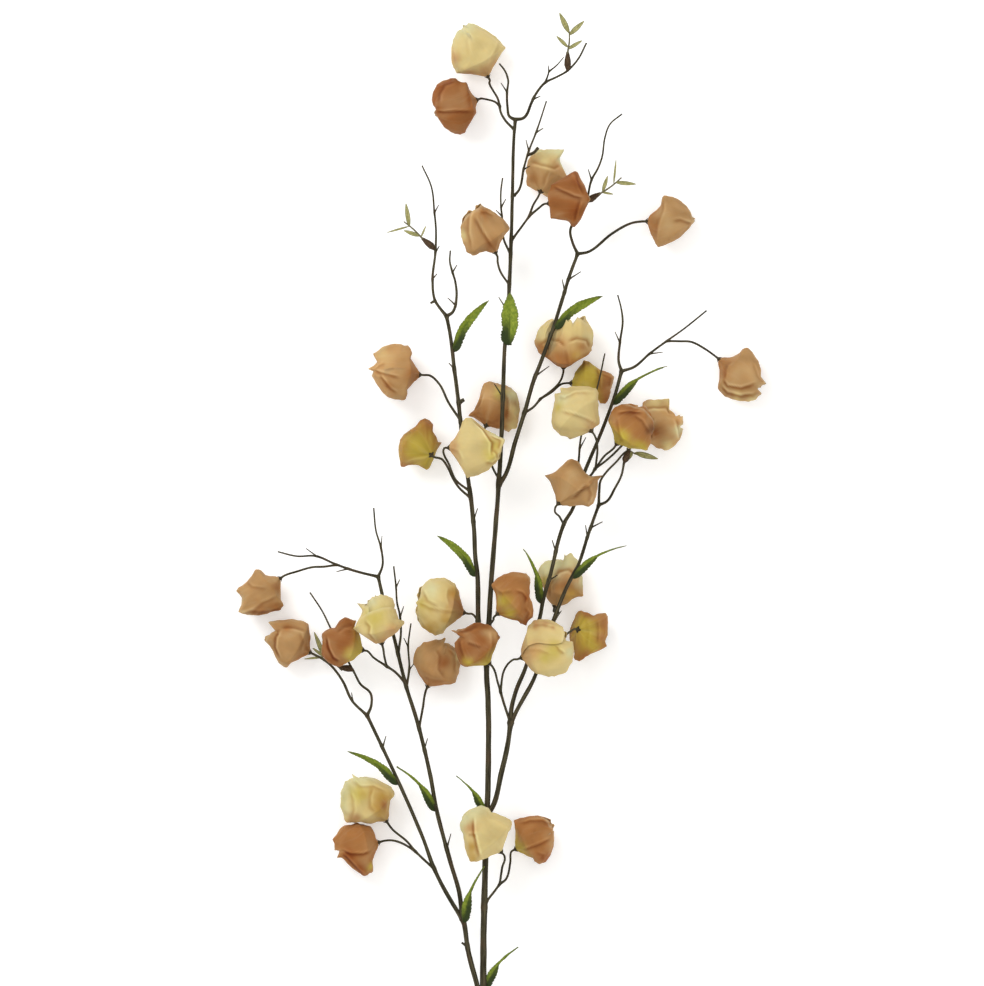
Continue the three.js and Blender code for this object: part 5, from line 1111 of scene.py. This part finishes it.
def edge_reach(outline, middle, turn):
    """How far an outline reaches from its middle in one direction."""
    way = Vector((math.cos(turn), math.sin(turn)))
    reach = 0
    for start, end in zip(outline, outline[1:] + outline[:1]):
        hit = geometry.intersect_line_line_2d(middle, middle + way * 99, Vector(start), Vector(end))
        if hit:
            reach = max(reach, (hit - middle).length)
    return reach


def ring_value(values, place):
    """The value at a place between two of a ring of values."""
    low = math.floor(place)
    value, after = values[low % len(values)], values[(low + 1) % len(values)]
    return value + (after - value) * (place - low)


def bend_to_outline(husk, lantern, outline):
    """Draws the cloth out or in, in plan, until its edge follows the outline. The foot stays."""
    foot, axis = Vector(lantern[0]), lantern_axis(lantern)
    middle = sum((Vector(point) for point in outline), Vector((0, 0))) / len(outline)
    wanted_reaches = [edge_reach(outline, middle, math.radians(turn)) for turn in range(360)]
    reaches = [0.1] * SLOTS
    ways = []
    for vert in husk.verts:
        away = vert.co.xy / MM - middle
        slot = math.degrees(math.atan2(away.y, away.x)) / SLOT_TURN
        ways.append((away, slot))
        for near in (-1, 0, 1):
            at = (round(slot) + near) % SLOTS
            reaches[at] = max(reaches[at], away.length)
    for vert, (away, slot) in zip(husk.verts, ways):
        reach = ring_value(reaches, slot)
        wanted = ring_value(wanted_reaches, slot * SLOT_TURN) or reach
        from_foot = vert.co / MM - foot
        below = axis.z * from_foot.dot(axis) - from_foot.z
        wanted -= TUCK * eased(below, 0, 8)
        hold = eased(from_foot.length, 2, 9)
        move = away * ((wanted / reach - 1) * (away.length / reach) ** 2 * hold)
        vert.co += Vector((move.x, move.y, 0)) * MM


def beside(spot, line):
    """How far a spot in plan lies to the left of a line, and its share of the way along the line."""
    gap, place = 99, 0
    for index, (start, end) in enumerate(zip(line, line[1:])):
        run_x, run_y = end[0] - start[0], end[1] - start[1]
        off_x, off_y = spot.x - start[0], spot.y - start[1]
        part = min(max((off_x * run_x + off_y * run_y) / (run_x ** 2 + run_y ** 2), 0), 1)
        away = math.hypot(off_x - run_x * part, off_y - run_y * part)
        if away < abs(gap):
            gap = math.copysign(away, run_x * off_y - run_y * off_x)
            place = (index + part) / (len(line) - 1)
    return gap, place


def fold_cloth(spot, number):
    """The folds at a spot on top of a husk: their lift, painted shade and painted highlight."""
    groove_at, groove_width, groove_depth = FOLD_GROOVE
    lift = shade = painted_highlight = 0
    for height, *line in FOLDS[number]:
        gap, place = beside(spot, line)
        if abs(gap) < FOLD_RUN * 2.5:
            strength = height * eased(place, 0, FOLD_ENDS) * eased(1 - place, 0, FOLD_ENDS)
            lift += strength * eased(gap, -FOLD_STEP, FOLD_STEP) * math.exp(-max(gap, 0) / FOLD_RUN)
            lift -= groove_depth * strength * math.exp(-((gap + groove_at) / groove_width) ** 2)
            dark = gap + FOLD_DARK_AT
            shade += strength * math.exp(-(dark / (1 if dark > 0 else 2)) ** 2)
            painted_highlight += strength * math.exp(-(gap - FOLD_HIGHLIGHT_AT) ** 2)
    return lift, min(shade, FOLD_LIMIT), min(painted_highlight, FOLD_LIMIT)


def press_down(spot, number):
    """Presses a spot under the stem that lies on its husk, and flat where it touches the table."""
    if number == STEM_DENT[0]:
        gap = max(abs(beside(spot, STEM_DENT[2])[0]) - 2.5, 0)
        spot.z = min(spot.z, STEM_DENT[1] + gap * (0.6 + 0.1 * gap))
    if spot.z < TABLE_TOUCH:
        press = TABLE_TOUCH - TABLE_LOW
        spot.z = TABLE_LOW + press * math.exp((spot.z - TABLE_TOUCH) / press)


def dye_with_painted_light(number, share, side, spot, here, shade, painted_highlight):
    """The dye at a spot: foot, body and tip dyes blend, then stains, a wash, painted fold shade and
    highlight.
    """
    foot_dye, body_dye, tip_dye, body_at, tip_at = HUSK_DYES[number - 1]
    (ragged, close), (wash_depth, wash_close) = STAIN_EDGE, WASH
    to_body = eased(share, body_at - BODY_BLEND[0], body_at + BODY_BLEND[1])
    to_tip = eased(share + 0.06 * side, tip_at - TIP_BLEND, tip_at + TIP_BLEND)
    paint = Vector(foot_dye).lerp(Vector(body_dye), to_body).lerp(Vector(tip_dye), to_tip)
    for x, y, reach, stain in STAINS_AND_PAINTED_SHADE.get(number, ()):
        away = math.hypot(spot.x - x, spot.y - y) * (1 + ragged * noise.noise(here * close))
        paint = paint.lerp(Vector(stain), math.exp(-(away / reach) ** 2))
    wash = noise.noise(here * wash_close + Vector((number * 1.3, 4, 0)))
    paint = paint.lerp(Vector(WASH_DYE), max(wash, 0) * wash_depth) * (1 + min(wash, 0) * wash_depth)
    return Vector(part * (1 + pale * painted_highlight) * (1 - deep * shade)
                  for part, pale, deep in zip(paint, FOLD_HIGHLIGHT, FOLD_SHADE))


def petal_sheet(husk, number, index, lantern):
    """One petal, wrapped round the axis: crumpled, folded, pressed down and dyed."""
    foot, _, rise, length, half, mouth = lantern
    axis = lantern_axis(lantern)
    up = (Vector((0, 0, 1)) - axis * axis.z).normalized()
    sideways = axis.cross(up)
    top = index == 0
    span, (low, low_turn), (high, high_turn) = TOP_PETALS.get(number, MOST_TOP_PETALS)
    stretch = 1 + PETAL_STRETCH * math.sin(2.3 * (number - 1) + 1.9 * index)
    if top:
        stretch *= SHORT_TOP_PETALS.get(number, 1)
    else:
        span = LOWER_SPAN
    slope = max(math.tan(math.radians(rise)), 0)
    (crease, crease_close), (crumple, crumple_close), (crinkle, crinkle_close) = CREASE, CRUMPLE, CRINKLE
    cloth_layer = husk.verts.layers.float_vector["cloth"]
    dye_layer = husk.verts.layers.float_color["dye"]
    across, along = TOP_GRID if top else LOWER_GRID
    for vert in bmesh.ops.create_grid(husk, x_segments=across, y_segments=along, size=1)["verts"]:
        u, v = vert.co.x, (vert.co.y + 1) / 2
        share = v * stretch * (1 - PETAL_POINT[0] * abs(u) ** PETAL_POINT[1])
        width = span * (1 - NARROWING * eased(v, TIP_START, 1.1))
        width *= 1 - NARROWING + NARROWING * min(v / FOOT_END, 1)
        seam = low_turn + (high_turn - low_turn) * eased(v, low, high)
        turn = math.radians(seam + 360 / PETALS * index - width * (1 - u))
        round_form = max(half * swell(min(share, 1), mouth), FOOT_RADIUS)
        loose = min(round_form / LOOSE, 1)
        radius = round_form + loose * (TOP_LIFT if top else OVERLAP * u)
        radius += loose * FREE_EDGE * eased(u, 0.75, 1) * (0.3 + 0.7 * v)
        here = Vector((math.cos(turn), math.sin(turn), 0)) * crease_close + Vector((0, 0, share * 2))
        # the added vectors only make one husk's cloth unlike another's
        radius += loose * crease * (0.35 - abs(noise.noise(here + Vector((number * 5.1, 0, 0)))) * 2)
        radius += loose * crumple * noise.noise(here * crumple_close + Vector((0, number * 3.3, index * 0.6)))
        radius += loose * crinkle * noise.noise(here * crinkle_close + Vector((number * 2.7, index * 0.6, 0)))
        forward = LEANING.get(number, 0) * (round_form - FOOT_RADIUS) * math.sin(turn)
        forward += slope * radius * (1 + math.cos(turn)) * eased(share, 0.4, 1)
        spot = Vector(foot) + axis * (length * share + forward)
        spot += up * (radius * math.cos(turn)) + sideways * (radius * math.sin(turn))
        # shade and highlight are painted into the dye along the folds
        lift = shade = painted_highlight = 0
        if math.cos(turn) > 0:
            on_top = eased(math.cos(turn), 0, 0.35)
            lift, shade, painted_highlight = (part * loose * on_top for part in fold_cloth(spot, number))
        spot.z += lift
        press_down(spot, number)
        paint = dye_with_painted_light(number, share, abs(u), spot, here, shade, painted_highlight)
        # painted shade on a lower petal where the next petal's edge lies over it
        if not top:
            under = (span - 360 / PETALS) / span
            covered = math.exp(-((u - under) / 0.12) ** 2) if u > under else 1
            paint *= 1 - UNDER_SHADE * covered * eased(v, 0.05, 0.3)
        # painted glow at each petal's end, as of light through the thin cloth
        paint = paint.lerp(Vector(TIP_GLOW_DYE), TIP_GLOW_SHARE * eased(v, 0.9, 1))
        vert[dye_layer] = (*paint, 1)
        vert[cloth_layer] = (u * math.radians(width) * half * MM, v * length * MM, number + index * 0.23)
        vert.co = spot * MM


def husk_piece(number, lantern):
    husk = bmesh.new()
    husk.verts.layers.float_vector.new("cloth")
    husk.verts.layers.float_color.new("dye")
    # a second petal closes the gap below a short top petal
    for index in range(PETALS + (number in SHORT_TOP_PETALS)):
        petal_sheet(husk, number, index, lantern)
    bend_to_outline(husk, lantern, HUSK_OUTLINES[number - 1])
    piece = mesh_object("husk_petals_%02d" % number, husk, husk_cloth)
    add_wall(piece, WALL)
    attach(piece, "root")
    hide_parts("lantern_%02d" % number)


for number, lantern in enumerate(LANTERNS, 1):
    husk_piece(number, lantern)


# ---- Leaves ----
# Narrow toothed leaves that clasp the stem, folded up along the midrib and bent to one side. The
# blade is thin and soft, with slanting side veins pressed into it. One half opens late, so that
# near the stem it is still a folded lobe, painted dark with shade. Shade is painted over the foot
# of each leaf as well.
# Rows: base, heading, rise, length, half width, roll, sideways bow, and how far it has unfolded.
LEAVES = [
    ((7.4, 232, 54.9), 90, 4, 44, 8.5, 0, 0, 0.95),
    ((50, 246, 55), 33, 4, 49, 5.6, 25, 5, 0.85),
    ((-41.9, 226.2, 54), 54, 4, 52.5, 5.8, 25, 5, 0.8),
    ((102.6, 178, 54), 34, 4, 56.5, 5, 25, 5.5, 0.05),
    ((-24.7, 23.9, 50), 135, 4, 47, 5.6, -25, -5, 0.75),
    ((35, 0, 50.5), 109, -4, 48, 5, -25, -4, 0.25),
    ((66.8, 21.6, 52), 30, 4, 53, 4.8, 25, 5.5, 0.05),
    ((-95.6, -164.2, 39.8), 148, 4, 51, 5.4, -25, -5, 0.5),
    ((-61.5, -187.6, 40), 132, 12, 50.5, 5, -25, -5, 0.1),
    ((-16.5, -189.3, 39.3), 129, 4, 39, 4.6, -25, -3, 0.05),
    ((-33, -288, 35.4), 69, 10, 51.5, 5.4, 20, 4, 0),
    ((-12.9, -347.6, 24), 50, 4, 44, 5, 20, 4, 0.1),
]
LEAF_GRID = (12, 84)
LEAF_WALL = 0.5
LEAF_ROOT = 3.2               # how much of a leaf's foot is set into the stem
LEAF_STALK = 0.05
LEAF_SKEW = (0.75, 1.05)      # lower puts the widest part nearer the stem: folded, unfolded
LEAF_FULLNESS = 0.75
LEAF_FOLD = 0.42
LEAF_RIPPLE = 0.9
LEAF_CURL = (3.2, 0.55)       # how far its tip bends down, and from what share of the length
LOBE = 0.52                   # where the folded half ends, as a share of the length
LOBE_FADE = (0.3, 0.1)        # how far before and after that its shade fades
LOBE_ROUND = 0.7
HALF_WIDTHS = (1.5, 0.3)      # the least that a leaf has at its stalk and at its tip
TEETH = 17
TOOTH = 0.14
TOOTHED = (0.12, 0.93)        # the part of the length that has teeth
UNEVEN = 1.2                  # how much one tooth differs from another

DEEP_GREEN = (0.13, 0.19, 0.016, 1)
LEAF_GREEN = (0.27, 0.32, 0.035, 1)
VEIN_GREEN = (0.30, 0.35, 0.08, 1)
MIDRIB_DARK = (0.045, 0.065, 0.014, 1)
EDGE_DARK = (0.06, 0.08, 0.018, 1)
TIP_DARK = (0.07, 0.08, 0.03, 1)
# painted shade over a leaf's foot and its folded lobe
LEAF_FOOT_SHADE = (0.03, 0.045, 0.012, 1)
LOBE_SHADE = (0.012, 0.024, 0.007, 1)
LOBE_SHADE_GREEN = (0.045, 0.062, 0.014, 1)

leaf_green, made, leaf_shader = start_material("leaf_green")
side, along, shaded_half = made.attribute("blade", "Vector").parts()
off_middle = side.sum("ABSOLUTE")
mottle = made.speckle(made.place(), 420, 4)
veins = ((along * 15 - off_middle * 4.2).sum("FRACT") - 0.5).sum("ABSOLUTE") * 2
vein = veins.spread(0.72, 0.98) * off_middle.spread(0.04, 0.2)
midrib = 1 - off_middle.spread(0.03, 0.12)
colour = mottle.spread(0.3, 0.75).tint(DEEP_GREEN, LEAF_GREEN)
colour = (vein * 0.3).tint(colour, VEIN_GREEN)
colour = (midrib * along.spread(0.8, 0.3) * 0.8).tint(colour, MIDRIB_DARK)
colour = (off_middle.spread(0.8, 1.0) * 0.5).tint(colour, EDGE_DARK)
colour = (along.spread(0.8, 1.0) * 0.5).tint(colour, TIP_DARK)
# painted shade, darker towards the stem
colour = along.spread(0.3, 0.0).tint(colour, LEAF_FOOT_SHADE)
# painted shade over the folded lobe
colour = shaded_half.tint(colour, mottle.tint(LOBE_SHADE, LOBE_SHADE_GREEN))
relief = (0.3 * mottle - vein - midrib).relief(0.7, 0.0005)
wire_surface(leaf_shader, colour, 0.62 - 0.12 * mottle, relief, 0.15)


def leaf_piece(number, leaf):
    base, heading, rise, length, half, roll, bow, opened = leaf
    folded_side = -1 if roll > 0 else 1
    skew = LEAF_SKEW[0] + (LEAF_SKEW[1] - LEAF_SKEW[0]) * opened
    blade = bmesh.new()
    layer = blade.verts.layers.float_vector.new("blade")
    bmesh.ops.create_grid(blade, x_segments=LEAF_GRID[0], y_segments=LEAF_GRID[1], size=1)
    for vert in blade.verts:
        across, share = vert.co.x, (vert.co.y + 1) / 2
        full = math.sin(math.pi * share ** skew) ** LEAF_FULLNESS
        if across * folded_side > 0:
            lobe = math.sin(math.pi * min(share / LOBE, 1) ** LOBE_ROUND) ** LOBE_ROUND
            width = half * max(lobe, full * opened)
            lit = eased(share, LOBE - LOBE_FADE[0], LOBE + LOBE_FADE[1]) * (0.4 + 0.6 * opened)
            shaded = eased(abs(across), 0.02, 0.2) * (1 - lit)
        else:
            width = half * full * (1 - (1 - opened) * 0.5 * eased(share, 0.25, 0.6))
            shaded = 0
        vert[layer] = (across, share, shaded)
        bite = (share * TEETH + 0.3) % 1
        torn = 1 + UNEVEN * noise.noise(Vector((share * 11, 3 * folded_side * (across > 0), number * 2.3)))
        tooth = 1 - TOOTH * torn * (1 - bite) * abs(across) ** 2 * (TOOTHED[0] < share < TOOTHED[1])
        width = max(width * tooth, HALF_WIDTHS[0] if share < LEAF_STALK else HALF_WIDTHS[1])
        ripple = LEAF_RIPPLE * noise.noise(Vector((share * 7, across * 1.3, number * 3.7))) * abs(across)
        curl = -LEAF_CURL[0] * max(share - LEAF_CURL[1], 0) ** 2 * length / 25
        x = share * length - LEAF_ROOT * (1 - share)
        y = width * across + 4 * bow * share * (1 - share)
        z = LEAF_FOLD * width * abs(across) * (1 - 0.35 * share) + ripple + curl
        vert.co = Vector((x, y, z)) * MM
    turn = (Matrix.Rotation(math.radians(heading), 4, "Z") @ Matrix.Rotation(-math.radians(rise), 4, "Y")
            @ Matrix.Rotation(math.radians(roll), 4, "X"))
    bmesh.ops.transform(blade, matrix=Matrix.Translation(Vector(base) * MM) @ turn, verts=blade.verts)
    piece = mesh_object("leaf_blade_%02d" % number, blade, leaf_green)
    add_wall(piece, LEAF_WALL)
    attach(piece, "root")
    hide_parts("leaf_%02d" % number)


for number, leaf in enumerate(LEAVES, 1):
    leaf_piece(number, leaf)


# ---- Leaf sprigs ----
# Small dull green sprigs rise out of the brown bud husks: a fine stalk with thin, folded leaflets
# that taper to a point at both ends. Their edges and feet are darker.
# Rows: foot, tip, and each leaflet's root and tip in plan, and how broad it is.
SPRIGS = [
    ((59.5, 493.5, 51), (61, 511, 54), (
        (61.5, 510, 52, 528, 1), (62.5, 508, 74.5, 520.5, 1), (60, 497, 49.5, 507, 0.9),
        (62, 495, 72.5, 503, 0.9))),
    ((89.5, 365.8, 58), (108, 379.5, 60), (
        (90, 368, 95.5, 381, 0.9), (99, 377, 103, 395.5, 0.3), (102.5, 375, 121, 373.5, 0.8),
        (90.5, 366, 100.5, 364.5, 0.7))),
    ((-72, 325.4, 56), (-88, 340, 58), (
        (-82, 336.5, -86, 356.5, 0.8), (-74, 326.5, -88, 332, 1), (-85, 334, -103, 330, 0.3),
        (-71, 327.5, -68, 336, 0.5))),
    ((115.3, 134.6, 49), (124, 130, 47), (
        (120, 132, 141, 126.5, 1), (117.5, 132.5, 114, 125.5, 1.6))),
    ((-146, -62.5, 22), (-160, -52, 20), (
        (-164, -42, -169, -29.5, 0.7), (-163, -47, -170.5, -44, 0.8), (-167, -50, -178, -54, 0.4))),
]
LEAFLET_GRID = (6, 16)
LEAFLET_WALL = 0.35
LEAFLET_WIDTH = 0.11          # as a share of its length
LEAFLET_EDGE = 0.3            # half the width of its points
LEAFLET_RISE = 10
LEAFLET_ROUND = 0.85          # lower makes a leaflet fuller
LEAFLET_FOLD = 0.35
LEAFLET_DROOP = 1.2
SPRIG_ROOT = 3                # how much of a sprig's stalk is set into the bud husk
SPRIG_TUBE = (1.5, 6)         # from ring to ring of its stalk, and how many sides it has
SPRIG_RADIUS = 1.0
SPRIG_TAPER = 0.35            # how much thinner it is at its tip
SPRIG_BEND = 0.8

DULL_GREEN = (0.21, 0.205, 0.065, 1)
PALE_GREEN = (0.40, 0.37, 0.14, 1)
LEAFLET_FOOT = (0.16, 0.15, 0.045, 1)
LEAFLET_RIB = (0.18, 0.15, 0.05, 1)
LEAFLET_RIM = (0.08, 0.085, 0.035, 1)
SPRIG_STALK = (0.10, 0.085, 0.035, 1)

sprig_green, made, sprig_shader = start_material("sprig_green")
side, along, _ = made.attribute("blade", "Vector").parts()
off_middle = side.sum("ABSOLUTE")
mottle = made.speckle(made.place(), 500, 3)
colour = mottle.spread(0.3, 0.7).tint(DULL_GREEN, PALE_GREEN)
colour = (along.spread(0.45, 0.0) * 0.6).tint(colour, LEAFLET_FOOT)
colour = ((1 - off_middle.spread(0.05, 0.3)) * 0.5).tint(colour, LEAFLET_RIB)
colour = (off_middle.spread(0.55, 1.0) * 0.7).tint(colour, LEAFLET_RIM)
colour = along.spread(0.01, 0.0).tint(colour, SPRIG_STALK)
relief = (mottle + off_middle.spread(0.05, 0.3)).relief(0.5, 0.0003)
wire_surface(sprig_shader, colour, 0.7 - 0.1 * mottle, relief, 0.5)


def sprig_piece(number, foot, tip, leaflets):
    sprig = bmesh.new()
    layer = sprig.verts.layers.float_vector.new("blade")
    sprig.verts.layers.float_vector.new("grain")
    sprig.verts.layers.float.new("papery")
    foot, tip = Vector(foot), Vector(tip)
    run = tip - foot
    bend = run.cross(Vector((0, 0, 1))).normalized() * SPRIG_BEND
    rooted = foot - run.normalized() * SPRIG_ROOT
    step, sides = SPRIG_TUBE
    line = smooth_line([rooted, foot + run / 2 + bend, tip], step)
    grow_tube(sprig, line, [SPRIG_RADIUS - SPRIG_TAPER * i / len(line) for i in range(len(line))], sides)
    for x, y, tip_x, tip_y, broad in leaflets:
        share = ((x - foot.x) * run.x + (y - foot.y) * run.y) / run.length_squared
        root = foot + run * min(max(share, 0), 1)
        length = math.hypot(tip_x - root.x, tip_y - root.y)
        heading = math.atan2(tip_y - root.y, tip_x - root.x)
        across, along = LEAFLET_GRID
        verts = bmesh.ops.create_grid(sprig, x_segments=across, y_segments=along, size=1)["verts"]
        for vert in verts:
            across, part = vert.co.x, (vert.co.y + 1) / 2
            vert[layer] = (across, part, 0)
            full = math.sin(math.pi * part ** LEAFLET_ROUND) ** LEAFLET_ROUND
            width = broad * LEAFLET_WIDTH * length * full + LEAFLET_EDGE
            cup = LEAFLET_FOLD * width * abs(across) - LEAFLET_DROOP * part ** 2
            vert.co = Vector((part * length, width * across, cup)) * MM
        turn = Matrix.Rotation(heading, 4, "Z") @ Matrix.Rotation(-math.radians(LEAFLET_RISE), 4, "Y")
        bmesh.ops.transform(sprig, matrix=Matrix.Translation(root * MM) @ turn, verts=verts)
        faces = list({face for vert in verts for face in vert.link_faces})
        bmesh.ops.solidify(sprig, geom=faces, thickness=LEAFLET_WALL * MM)
    bmesh.ops.recalc_face_normals(sprig, faces=sprig.faces)
    piece = mesh_object("sprig_leaflets_%02d" % number, sprig, sprig_green)
    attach(piece, "root")
    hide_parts("sprig_%02d" % number)


for number, (foot, tip, leaflets) in enumerate(SPRIGS, 1):
    sprig_piece(number, foot, tip, leaflets)

bpy.context.view_layer.update()
